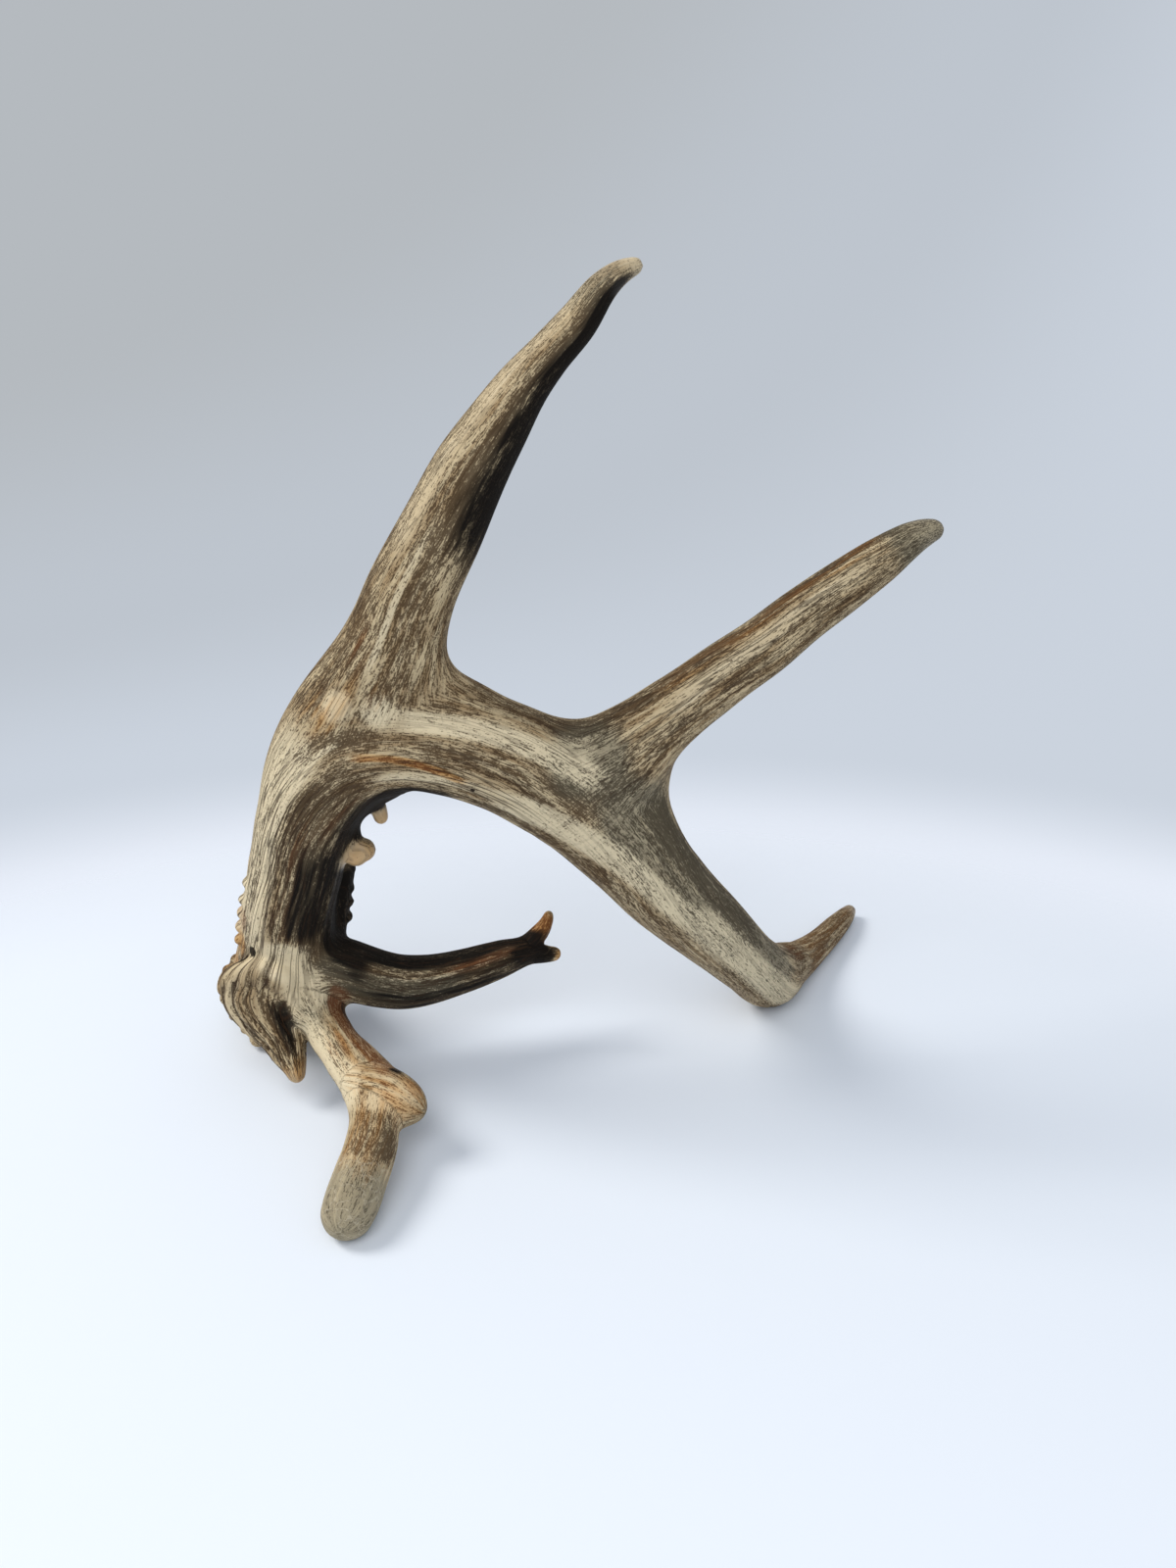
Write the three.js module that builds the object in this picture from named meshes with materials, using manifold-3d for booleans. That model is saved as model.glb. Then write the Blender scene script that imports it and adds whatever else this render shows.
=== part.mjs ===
/**
 * Deer antler: a main beam that rises from its burr, arches over and comes back down to the floor,
 * two long tines on the outside of the arch, and a forked group of brow tines beside the burr.
 *
 * Frame: millimetres, +Z up. The antler lies on the plane z = 0, +X runs along the arch from the
 * burr towards the beam's tip, and the origin is under the middle of the bounding box.
 */
import * as THREE from "three";
import { mergeVertices } from "three/addons/utils/BufferGeometryUtils.js";
import Module from "manifold-3d";

const wasm = await Module();
wasm.setup();

/** Gap left where the antler is divided at a fork. */
const CUT_GAP = 0.3;
/** Vertices closer than this are one vertex. */
const WELD = 1e-3;
/** Pearls over this radius are rounder. */
const LARGE_PEARL = 5;
/** Moves the limbs below so that the origin is under the middle of the bounding box. */
const ORIGIN_SHIFT = [2.8, -2.2, 0];
/** Height of the box that trims the antler to the floor. */
const FLOOR_DEPTH = 20;
const FLOOR_SIZE = 500;

/**
 * Stations along a limb: x, y, z of its middle line, then its half-width across the plane of the
 * antler and its half-depth along Y. The last station is the end of the limb.
 */
const BEAM = [
  [-136.2, 29.6, 17.2, 22, 22],
  [-133.8, 25, 22.2, 24.4, 24.4],
  [-127.5, 9, 42, 22.5, 22],
  [-121, -4, 67, 20.5, 21],
  [-116.5, -11, 90, 19.5, 20.5],
  [-111, -16, 110, 19.5, 19.5],
  [-105.5, -21, 131, 20, 19],
  [-96.5, -25, 150, 21.5, 19],
  [-82.5, -27, 164, 22, 19],
  [-64, -29, 170.5, 21.5, 18.5],
  [-42, -29, 169, 22.5, 18],
  [-20, -28, 161.5, 23.5, 17.5],
  [2, -25, 146.5, 24, 17],
  [23.5, -19, 124, 22.6, 16.5],
  [45.5, -9, 92, 19.3, 16],
  [66, 5, 65, 17.2, 15],
  [86, 25, 35.5, 15, 14.5],
  [99.5, 45, 16, 15.8, 15.8],
  [108.5, 57, 12.6, 13.2, 12.6],
  [115.5, 66, 10.5, 10.6, 10.2],
  [129.5, 86, 8, 7.8, 7.6],
  [143, 108, 6.6, 6.4, 6.2],
  [150.5, 121, 5.6, 4.8, 4.8],
  [155.5, 130.5, 5, 3, 3],
];
const SECOND_TINE = [
  [-86, -26, 156, 27, 17],
  [-73, -28, 186, 25.5, 17.5],
  [-63, -30, 210, 20.5, 16],
  [-54.5, -31.5, 232, 17, 15],
  [-42.5, -32, 255, 15.5, 13.5],
  [-31.5, -30.5, 276, 13.8, 12],
  [-22, -28, 290.5, 11.8, 10.8],
  [-12.5, -24, 304, 9.7, 9.2],
  [-3.5, -19.5, 314, 8.2, 8],
  [7, -13.5, 324.8, 7.4, 6.8],
  [16, -6.5, 336, 5.8, 5.4],
  [22.5, -2.5, 341, 4.5, 4.3],
  [30.5, 2, 344, 2.8, 2.8],
];
const THIRD_TINE = [
  [6, -25, 145, 27, 15],
  [24, -24, 161, 21, 14.5],
  [37.5, -22, 172.5, 16, 13.5],
  [50.5, -20, 182.5, 13.8, 12],
  [65.5, -18, 194, 12.7, 11],
  [80.5, -15, 204, 12, 10.3],
  [95, -11, 215, 11.2, 9.5],
  [110, -7, 225, 10.6, 9],
  [124.5, -3, 234.5, 9.4, 8.2],
  [137.5, 1, 242.5, 7, 6.4],
  [144.5, 3.5, 245, 5.3, 5],
  [151, 5.5, 246, 3.2, 3.2],
];
const FRONT_TINE = [
  [-115, -1, 56, 15, 15],
  [-111, -10, 44, 12, 13],
  [-104, -24, 33.5, 9.8, 11],
  [-92, -41, 28, 10.2, 10.8],
  [-81, -59, 23.5, 11.2, 10.5],
  [-76.5, -73, 19.5, 10.4, 10.2],
  [-76.5, -87, 16, 10.8, 10.4],
  [-78.5, -100, 13, 10.9, 10.8],
  [-80.5, -112, 10.2, 10.8, 10.8],
  [-83, -126.5, 8.6, 8.8, 8.6],
];
const FRONT_KNOB = [
  [-81, -58, 24.5, 11.5, 10.5],
  [-72, -62, 25, 12.5, 10],
  [-64, -66, 23, 12, 8.6],
  [-54.8, -69.5, 20, 8, 6.5],
];
const SIDE_TINE = [
  [-114, -4, 54, 16, 15],
  [-98.5, -7, 51.5, 14, 13.5],
  [-81.5, -4.5, 44.5, 12.8, 12],
  [-72, -2, 41.5, 12.2, 11.5],
  [-60, 1, 41, 11.3, 10.5],
  [-45, 5, 43, 10.2, 9.2],
  [-33.5, 9, 45, 9.5, 8],
  [-24.5, 12, 46.7, 8.8, 6.8],
  [-13, 15.5, 48, 7.4, 4.6],
];
const UPPER_PRONG = [
  [-18, 14, 49, 6.2, 5],
  [-11.5, 16.5, 55.5, 4.6, 4],
  [-8, 18, 61, 3.1, 3],
  [-6.3, 19, 66.2, 2, 2],
];
const LOWER_PRONG = [
  [-18, 14, 47, 6.2, 5],
  [-9.5, 16.5, 44.8, 4.6, 4],
  [-1.5, 19, 43.5, 2.9, 2.9],
];
const KICKER = [
  [-130.5, -21, 57, 12, 8],
  [-132, -21.5, 48, 16, 8.5],
  [-128.2, -23.5, 38, 13.2, 8.3],
  [-122.8, -26.5, 30, 10, 7.6],
  [-119, -30.8, 22.5, 7.5, 6.4],
  [-116.5, -34.5, 17.5, 5, 4.8],
  [-114.8, -38.5, 13, 3, 3],
];
/** Rounded upper edge of the kicker, which stands out from the beam like a shelf. */
const KICKER_SHELF = [
  [-147.5, -15, 46.5, 4.5, 5],
  [-142.5, -20, 54.5, 5.5, 6],
  [-133.5, -24, 59.8, 6, 6.5],
  [-126, -25.5, 61.8, 6, 6.5],
  [-120.5, -26, 59, 6, 6.5],
  [-117, -27, 52, 5.5, 6],
];
/** Fills the valley between the kicker and the front brow tine. */
const KICKER_WEB = [
  [-121, -24, 54, 6, 6],
  [-115.5, -26.5, 44.5, 6, 6],
  [-111.5, -28, 36, 4.5, 5],
];
/** Low ridge on the inside of the beam's foot, from the large knob down to the side brow tine. */
const INNER_RIDGE = [
  [-98, 0, 106, 4, 5],
  [-96, 2.5, 97, 5, 5.5],
  [-98, 4, 86, 5, 6.5],
  [-101, 5.5, 72.5, 5.2, 8],
  [-106, 5, 58, 8, 10],
];
/** Rounded brow above the kicker, which runs down to the front brow tine. */
const BROW_SADDLE = [
  [-133, -15, 61, 4.5, 5],
  [-125, -19, 65.5, 5, 5.5],
  [-117, -20, 63, 5.5, 6],
  [-110, -19, 54, 7, 7],
  [-104, -20, 44, 7.5, 7.5],
];
/** Webs that fill the forks: the outside of the arch's shoulder, then the inside of each fork. */
const SHOULDER_WEB = [
  [-112, -22, 124, 13, 12],
  [-107, -25, 149.5, 14, 12],
  [-100, -27, 168, 14, 12],
  [-91, -28, 184, 13.5, 12],
  [-80, -29, 199, 13, 11],
  [-70, -30, 213, 12, 10],
];
const SECOND_TINE_WEB = [
  [-55, -30, 216, 10, 9],
  [-51, -30, 200, 10, 10],
  [-45, -29, 190, 10.5, 10],
  [-34, -28, 183.5, 10.5, 10],
  [-20, -27, 176, 10, 10],
];
const THIRD_TINE_WEB = [
  [-14, -26, 172, 9.5, 9],
  [2, -25, 167.5, 10, 9],
  [14, -24, 167, 10, 9],
  [26, -23, 172, 9, 8],
];
const BEAM_END_WEB = [
  [50, -20, 176, 7, 8],
  [41, -20, 165, 8.5, 9],
  [36.5, -18, 152.5, 9, 9],
  [35.5, -16, 142, 9, 9],
  [38, -14, 130, 9, 9],
  [44, -11, 116, 9, 9],
];
const KNOB_WEB = [
  [-90, -38, 29.5, 8, 8],
  [-77.5, -52, 26, 8.5, 8],
  [-66, -64, 23.5, 8, 7],
];
/** Fills the inner corner of the arch where both knobs grow. */
const KNOB_ROOT = [
  [-67, -23, 151, 8, 9],
  [-76.5, -20, 145, 8, 9],
  [-84, -18.5, 138, 7, 8],
  [-88, -18, 129, 5.5, 6],
  [-87, -17.5, 122, 3.8, 4],
  [-85, -17, 116, 4, 4],
];
const LARGE_KNOB_NECK = [
  [-99, -17, 119, 8, 8],
  [-91, -17, 116, 5.8, 5.8],
  [-85.5, -17, 115, 4.8, 4.8],
];
const SMALL_KNOB = [
  [-78.5, -17, 140, 5.5, 6],
  [-76.2, -15.5, 135, 3.9, 4],
  [-75.1, -14.8, 130.5, 3.3, 3.4],
  [-74.9, -14.5, 126.4, 2.8, 2.8],
];

/** Pearls strewn over the foot of the beam: x, y, z and radius. */
const PEARLS = [
  [-86, -17, 113.6, 5.3],
  [-82.8, -17, 115.4, 5.1],
  [-93, 3, 96, 2.7],
  [-94.2, 3.5, 86.5, 2.7],
  [-95.2, 4, 79.5, 2.5],
  [-96.6, 4.5, 71.5, 2.8],
  [-132.7, -18.5, 101, 2.3],
  [-135.4, -16, 91.5, 2.5],
  [-137.2, -13.6, 83.5, 2.7],
  [-139.2, -11.4, 75.5, 2.7],
  [-141, -9.4, 68, 2.6],
  [-136, 12, 72, 2.6],
  [-129, 9, 86, 2.6],
  [-121, 11, 78, 2.7],
  [-110, 15, 72, 2.5],
  [-128, 19.5, 68, 2.6],
  [-117, 20, 59, 2.6],
];

/** Burr: a ring of uneven pearls round the beam's seat. */
const BURR = { centre: [-134.4, 26.5, 20.1], radius: 24.8, count: 22, size: 3.8, unevenness: 0.6 };

/** Where the antler is divided: limb, share of its length, and the slab's half-size. */
const CUTS = [
  { limb: "beam", at: 0.232, halfSize: 34 },
  { limb: "beam", at: 0.62, halfSize: 30 },
  { limb: "secondTine", at: 0.3, halfSize: 30 },
  { limb: "thirdTine", at: 0.235, halfSize: 24 },
  { limb: "frontTine", at: 0.25, halfSize: 16 },
  { limb: "sideTine", at: 0.25, halfSize: 19 },
  { limb: "kicker", at: 0.74, halfSize: 11.5 },
];

/** A point inside each piece, as a limb and a share of its length. */
const PIECES = {
  beam_base: { limb: "beam", at: 0.1 },
  beam_arch: { limb: "beam", at: 0.42 },
  beam_end: { limb: "beam", at: 0.75 },
  second_tine: { limb: "secondTine", at: 0.6 },
  third_tine: { limb: "thirdTine", at: 0.6 },
  front_brow_tine: { limb: "frontTine", at: 0.6 },
  side_brow_tine: { limb: "sideTine", at: 0.6 },
  kicker_tine: { limb: "kicker", at: 0.85 },
};

/** Turns a three.js geometry into a solid. */
function solidOf(geometry) {
  const bare = new THREE.BufferGeometry();
  bare.setAttribute("position", geometry.getAttribute("position"));
  bare.setIndex(geometry.index);
  const welded = mergeVertices(bare, WELD);
  return new wasm.Manifold(
    new wasm.Mesh({
      numProp: 3,
      vertProperties: new Float32Array(welded.attributes.position.array),
      triVerts: new Uint32Array(welded.index.array),
    }),
  );
}

/** A round limb with an elliptical section that changes along a curve. */
class Limb {
  constructor(stations, { rings, sides, relief = () => 0 }) {
    this.path = new THREE.CatmullRomCurve3(
      stations.map(([x, y, z]) => new THREE.Vector3(x, y, z)),
      false,
      "centripetal",
    );
    this.path.arcLengthDivisions = 600;
    this.sizes = new THREE.CatmullRomCurve3(
      stations.map(([, , , halfWidth, halfDepth]) => new THREE.Vector3(halfWidth, halfDepth, 0)),
      false,
      "catmullrom",
      0.5,
    );
    this.length = this.path.getLength();
    this.tip = stations.at(-1)[3];
    this.rings = rings;
    this.sides = sides;
    this.relief = relief;
  }

  /** Point, direction and half sizes at a share of the limb's length. */
  at(share) {
    const t = this.path.getUtoTmapping(share);
    return {
      point: this.path.getPoint(t),
      tangent: this.path.getTangent(t),
      size: this.sizes.getPoint(t),
    };
  }

  /** Shares of the length at which the limb has a ring: even, then closer round the tip. */
  shares() {
    const tipShare = this.tip / this.length;
    const body = Array.from({ length: this.rings }, (_, i) => (i / this.rings) * (1 - tipShare));
    const cap = [0, 0.4, 0.74, 0.95].map((c) => 1 - tipShare * (1 - c));
    return [...body, ...cap];
  }

  /** A lathe turned straight up and then bent along the path. */
  geometry() {
    const shares = this.shares();
    const tipShare = this.tip / this.length;
    const profile = [
      new THREE.Vector2(0, 0),
      ...shares.map((share, i) => {
        const over = Math.max(0, 1 - (1 - share) / tipShare);
        return new THREE.Vector2(Math.sqrt(Math.max(0, 1 - over * over)), i);
      }),
      new THREE.Vector2(0, shares.length),
    ];
    const lathe = new THREE.LatheGeometry(profile, this.sides);
    const frames = this.frames([...shares, 1]);
    const position = lathe.getAttribute("position");
    for (let i = 0; i < position.count; i++) {
      const frame = frames[Math.round(position.getY(i))];
      const across = position.getX(i);
      const deep = position.getZ(i);
      const reach = Math.hypot(across, deep);
      const angle = Math.atan2(deep, across);
      const lift = reach * this.relief(frame.along, angle);
      const shift = (size, part) => part * size + (reach > 0 ? (lift * part) / reach : 0);
      const vertex = frame.point
        .clone()
        .addScaledVector(frame.side, shift(frame.size.x, across))
        .addScaledVector(frame.depth, shift(frame.size.y, deep));
      position.setXYZ(i, vertex.x, vertex.y, vertex.z);
    }
    return lathe;
  }

  /** Section axes at each share, carried along the path so that they never twist. */
  frames(shares) {
    const depth = new THREE.Vector3(0, 1, 0);
    return shares.map((share) => {
      const { point, tangent, size } = this.at(share);
      depth.addScaledVector(tangent, -depth.dot(tangent)).normalize();
      return {
        point,
        size,
        along: share * this.length,
        depth: depth.clone(),
        side: new THREE.Vector3().crossVectors(tangent, depth),
      };
    });
  }

  solid() {
    return solidOf(this.geometry());
  }
}

/** Long wavy ridges on the beam, coarse at the burr and fading along it. */
function beamRelief(along, angle) {
  const strength = 0.3 + 0.75 * (1 - THREE.MathUtils.smoothstep(along, 60, 190));
  const sway = 0.5 * Math.sin(along / 19) + 0.3 * Math.sin(along / 7.3);
  const ridges = Math.sin(9 * angle + sway) + 0.55 * Math.sin(5 * angle - along / 33);
  return strength * 0.8 * ridges;
}

/** Shallow flutes along a tine that die out before its tip. */
function tineRelief(length) {
  return (along, angle) => {
    const fade = 1 - THREE.MathUtils.smoothstep(along, 0.55 * length, 0.85 * length);
    return 0.45 * fade * Math.sin(5 * angle + 0.7 * Math.sin(along / 27));
  };
}

/** Strong parallel ribs down the flat kicker. */
function kickerRelief(along, angle) {
  const fade = 1 - THREE.MathUtils.smoothstep(along, 32, 48);
  return 0.75 * fade * Math.sin(8 * angle + 0.4 * Math.sin(along / 9));
}

/** The uneven pearls of the burr, as one list of spheres. */
function burrPearls() {
  const centre = new THREE.Vector3(...BURR.centre);
  const { tangent } = limbs.beam.at(0.01);
  const across = new THREE.Vector3(0, 0, 1).cross(tangent).normalize();
  const up = new THREE.Vector3().crossVectors(tangent, across);
  return Array.from({ length: BURR.count }, (_, i) => {
    const turn = ((i + 0.18 * Math.sin(5 * i)) / BURR.count) * 2 * Math.PI;
    const radius = BURR.radius + BURR.unevenness * Math.sin(3.7 * i);
    const size = BURR.size + BURR.unevenness * Math.sin(2.3 * i + 1);
    const spot = centre
      .clone()
      .addScaledVector(across, radius * Math.cos(turn))
      .addScaledVector(up, radius * Math.sin(turn));
    return [...spot.toArray(), size];
  });
}

/** A small rounded lump. */
function pearl([x, y, z, radius]) {
  const sides = radius > LARGE_PEARL ? 10 : 6;
  return solidOf(new THREE.SphereGeometry(radius, sides, Math.ceil(sides / 2)).translate(x, y, z));
}

/** A thin slab square to a limb, which divides it. */
function slab({ limb, at, halfSize }) {
  const { point, tangent } = limbs[limb].at(at);
  const turn = new THREE.Quaternion().setFromUnitVectors(new THREE.Vector3(0, 0, 1), tangent);
  const geometry = new THREE.BoxGeometry(2 * halfSize, 2 * halfSize, CUT_GAP);
  return solidOf(geometry.applyQuaternion(turn).translate(point.x, point.y, point.z));
}

const limbs = {
  beam: new Limb(BEAM, { rings: 38, sides: 21, relief: beamRelief }),
  secondTine: new Limb(SECOND_TINE, { rings: 16, sides: 15, relief: tineRelief(235) }),
  thirdTine: new Limb(THIRD_TINE, { rings: 13, sides: 14, relief: tineRelief(195) }),
  frontTine: new Limb(FRONT_TINE, { rings: 13, sides: 15, relief: tineRelief(120) }),
  frontKnob: new Limb(FRONT_KNOB, { rings: 4, sides: 14 }),
  sideTine: new Limb(SIDE_TINE, { rings: 10, sides: 14, relief: tineRelief(110) }),
  upperProng: new Limb(UPPER_PRONG, { rings: 4, sides: 10 }),
  lowerProng: new Limb(LOWER_PRONG, { rings: 4, sides: 10 }),
  kicker: new Limb(KICKER, { rings: 6, sides: 20, relief: kickerRelief }),
  kickerShelf: new Limb(KICKER_SHELF, { rings: 7, sides: 8 }),
  kickerWeb: new Limb(KICKER_WEB, { rings: 4, sides: 8 }),
  innerRidge: new Limb(INNER_RIDGE, { rings: 6, sides: 8 }),
  browSaddle: new Limb(BROW_SADDLE, { rings: 5, sides: 10 }),
  shoulderWeb: new Limb(SHOULDER_WEB, { rings: 6, sides: 12 }),
  secondTineWeb: new Limb(SECOND_TINE_WEB, { rings: 6, sides: 12 }),
  thirdTineWeb: new Limb(THIRD_TINE_WEB, { rings: 5, sides: 12 }),
  beamEndWeb: new Limb(BEAM_END_WEB, { rings: 7, sides: 12 }),
  knobWeb: new Limb(KNOB_WEB, { rings: 4, sides: 10 }),
  knobRoot: new Limb(KNOB_ROOT, { rings: 7, sides: 8 }),
  largeKnobNeck: new Limb(LARGE_KNOB_NECK, { rings: 3, sides: 8 }),
  smallKnob: new Limb(SMALL_KNOB, { rings: 5, sides: 8 }),
};

const floorBox = new THREE.BoxGeometry(FLOOR_SIZE, FLOOR_SIZE, FLOOR_DEPTH);
const belowFloor = solidOf(floorBox.translate(0, 0, -FLOOR_DEPTH / 2));
const whole = wasm.Manifold.union([
  ...Object.values(limbs).map((limb) => limb.solid()),
  ...[...PEARLS, ...burrPearls()].map(pearl),
]).subtract(belowFloor);
const divided = CUTS.reduce((solid, cut) => solid.subtract(slab(cut)), whole).decompose();

const antler = new THREE.MeshStandardMaterial({
  name: "antler",
  color: new THREE.Color(0.52, 0.46, 0.37),
  roughness: 0.62,
});

/** The piece of the divided antler that holds a point of a limb. */
function pieceAt({ limb, at }) {
  const { point } = limbs[limb].at(at);
  const probe = solidOf(new THREE.OctahedronGeometry(1).translate(point.x, point.y, point.z));
  return divided.find((solid) => solid.intersect(probe).volume() > 0);
}

/** A named three.js mesh of a solid. */
function meshOf(name, solid) {
  const { vertProperties, triVerts } = solid.getMesh();
  const geometry = new THREE.BufferGeometry();
  geometry.setAttribute("position", new THREE.BufferAttribute(new Float32Array(vertProperties), 3));
  geometry.setIndex(new THREE.BufferAttribute(new Uint32Array(triVerts), 1));
  geometry.translate(...ORIGIN_SHIFT);
  geometry.computeVertexNormals();
  const mesh = new THREE.Mesh(geometry, antler);
  mesh.name = name;
  return mesh;
}

const root = new THREE.Group();
root.name = "deer_antler";
for (const [name, place] of Object.entries(PIECES)) {
  root.add(meshOf(name, pieceAt(place)));
}

export default root;
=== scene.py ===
"""Deer antler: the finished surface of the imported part, with a plain floor, soft light and a camera.

The antler is a main beam that rises from its burr, arches over and comes back down to its tip, with
two long tines on the outside of the arch and a group of brow tines beside the burr. Lengths are
millimetres in the part's own frame, +Z up; meshes are made in metres.

How the surface is made:
1. every limb is a round profile carried along a curve, and every pearl is a small sphere;
2. one voxel skin is taken round all of them and relaxed where limbs meet, as bone flows at a fork;
3. wavy ridges, flutes and ribs raise the skin along its normals, following the grain of each limb;
4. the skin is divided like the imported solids, and each piece is closed where it was divided.
"""

import itertools
import logging
import math
from dataclasses import dataclass, field
from enum import Enum

import bpy
import numpy as np
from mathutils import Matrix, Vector


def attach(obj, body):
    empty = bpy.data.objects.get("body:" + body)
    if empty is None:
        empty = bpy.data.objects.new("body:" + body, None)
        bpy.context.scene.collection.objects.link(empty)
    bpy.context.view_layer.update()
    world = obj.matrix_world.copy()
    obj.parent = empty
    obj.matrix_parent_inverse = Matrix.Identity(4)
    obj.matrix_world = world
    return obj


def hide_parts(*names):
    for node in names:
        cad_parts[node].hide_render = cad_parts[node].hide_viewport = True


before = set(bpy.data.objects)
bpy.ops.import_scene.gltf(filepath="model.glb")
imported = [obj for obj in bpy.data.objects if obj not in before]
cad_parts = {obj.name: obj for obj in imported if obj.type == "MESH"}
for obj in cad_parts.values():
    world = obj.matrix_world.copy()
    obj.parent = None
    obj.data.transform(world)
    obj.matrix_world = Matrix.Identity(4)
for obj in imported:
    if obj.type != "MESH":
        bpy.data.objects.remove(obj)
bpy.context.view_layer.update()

LOG = logging.getLogger("antler")

Array = np.ndarray
Pair = tuple[float, float]
Triple = tuple[float, float, float]
Colour = tuple[float, float, float, float]
Shade = tuple[int, int, int]
Socket = bpy.types.NodeSocket

BODY = "root"
MM = 0.001
ORIGIN_SHIFT = np.array([2.8, -2.2, 0.0])  # mm from the frame of the stations to the part's frame
VOXEL = 0.75  # mm
CURVE_SAMPLES = 60  # for each station, where a limb's length is measured
TIP_RINGS = 10  # rings of latitude in a limb's round end, its first and last included
NEAREST_CHUNK = 20000  # points compared with a limb's middle line at one time
MARK_EDGE = (1.5, 0.5)  # shares of a mark's half-width at which it is gone and at which it is full
OFF_LIMB = (1.9, 1.3)  # the same for a stripe, in radii from its limb's middle line
MIX_REACH = 0.4  # how far the beam's grain and a tine's grain run into each other, in radii
TINES_APART = 700.0  # mm between the grain coordinates of two tines, so that their marks differ
GRAIN_TURN = 260.0  # mm of a limb on which its grain winds round it by one radian


# ---- Curves and noise ----


def catmull_rom(points: Array, share: Array, centripetal: bool) -> Array:
    """Points of a Catmull-Rom curve: in each span, the cubic with the tangents that the neighbours give.

    Args:
        points: control values, one row each.
        share: parameters from 0 at the first control value to 1 at the last.
        centripetal: spans are weighted by the square root of their length, which keeps bends tight.

    Returns:
        One row for each parameter.
    """
    spans = len(points) - 1
    padded = np.vstack([2 * points[0] - points[1], points, 2 * points[-1] - points[-2]])
    place = np.clip(share, 0, 1) * spans
    span = np.minimum(place.astype(int), spans - 1)
    w = (place - span)[:, None]
    p0, p1, p2, p3 = (padded[span + k] for k in range(4))
    if centripetal:
        d0, d1, d2 = (
            np.maximum(np.sum((b - a) ** 2, axis=1) ** 0.25, 1e-6)[:, None]
            for a, b in ((p0, p1), (p1, p2), (p2, p3))
        )
        leave = d1 * ((p1 - p0) / d0 - (p2 - p0) / (d0 + d1) + (p2 - p1) / d1)
        arrive = d1 * ((p2 - p1) / d1 - (p3 - p1) / (d1 + d2) + (p3 - p2) / d2)
    else:
        leave = 0.5 * (p2 - p0)
        arrive = 0.5 * (p3 - p1)
    return (
        p1
        + w * leave
        + w**2 * (3 * (p2 - p1) - 2 * leave - arrive)
        + w**3 * (2 * (p1 - p2) + leave + arrive)
    )


def smoothstep(value: Array, low: float, high: float) -> Array:
    """0 below low, 1 above high, and 3t^2 - 2t^3 in between; low may be the larger one."""
    t = np.clip((value - low) / (high - low), 0, 1)
    return t * t * (3 - 2 * t)


def unit(vectors: Array) -> Array:
    """The same directions with length one."""
    return vectors / np.maximum(np.linalg.norm(vectors, axis=-1, keepdims=True), 1e-9)


def dots(a: Array, b: Array) -> Array:
    """Row by row dot product."""
    return np.einsum("ij,ij->i", a, b)


def sums(index: Array, rows: Array, size: int) -> Array:
    """The rows that have the same index added up: one row for each index below size."""
    return np.stack([np.bincount(index, column, size) for column in rows.T], axis=1)


def lattice_noise(points: Array, seed: int) -> Array:
    """Smooth noise: a hashed value at each whole-number point, blended by smooth steps in between.

    Args:
        points: places, one row each, in cells.
        seed: picks another pattern.

    Returns:
        A value from 0 to 1 for each place.
    """
    cell = np.floor(points).astype(np.int64)
    part = points - cell
    ease = part * part * (3 - 2 * part)
    total = np.zeros(len(points))
    for corner in itertools.product((0, 1), repeat=3):
        at = cell + np.array(corner)
        # a hash: three large primes for the cell, one for the seed, then two rounds of mixing
        key = (at[:, 0] * 73856093) ^ (at[:, 1] * 19349663) ^ (at[:, 2] * 83492791) ^ (seed * 15485863)
        key = ((key ^ (key >> 13)) * 1274126177) & 0x7FFFFFFF
        key = ((key ^ (key >> 16)) * 73244475) & 0x7FFFFFFF
        share = np.where(np.array(corner) == 1, ease, 1 - ease).prod(axis=1)
        total += share * ((key & 0xFFFF) / 65535.0)
    return total


# ---- Limbs and pearls ----


@dataclass
class LimbPlace:
    """Where points lie on a limb: how far along it, at what angle round it, and how far out."""

    along: Array
    angle: Array
    reach: Array
    radius: Array


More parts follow.
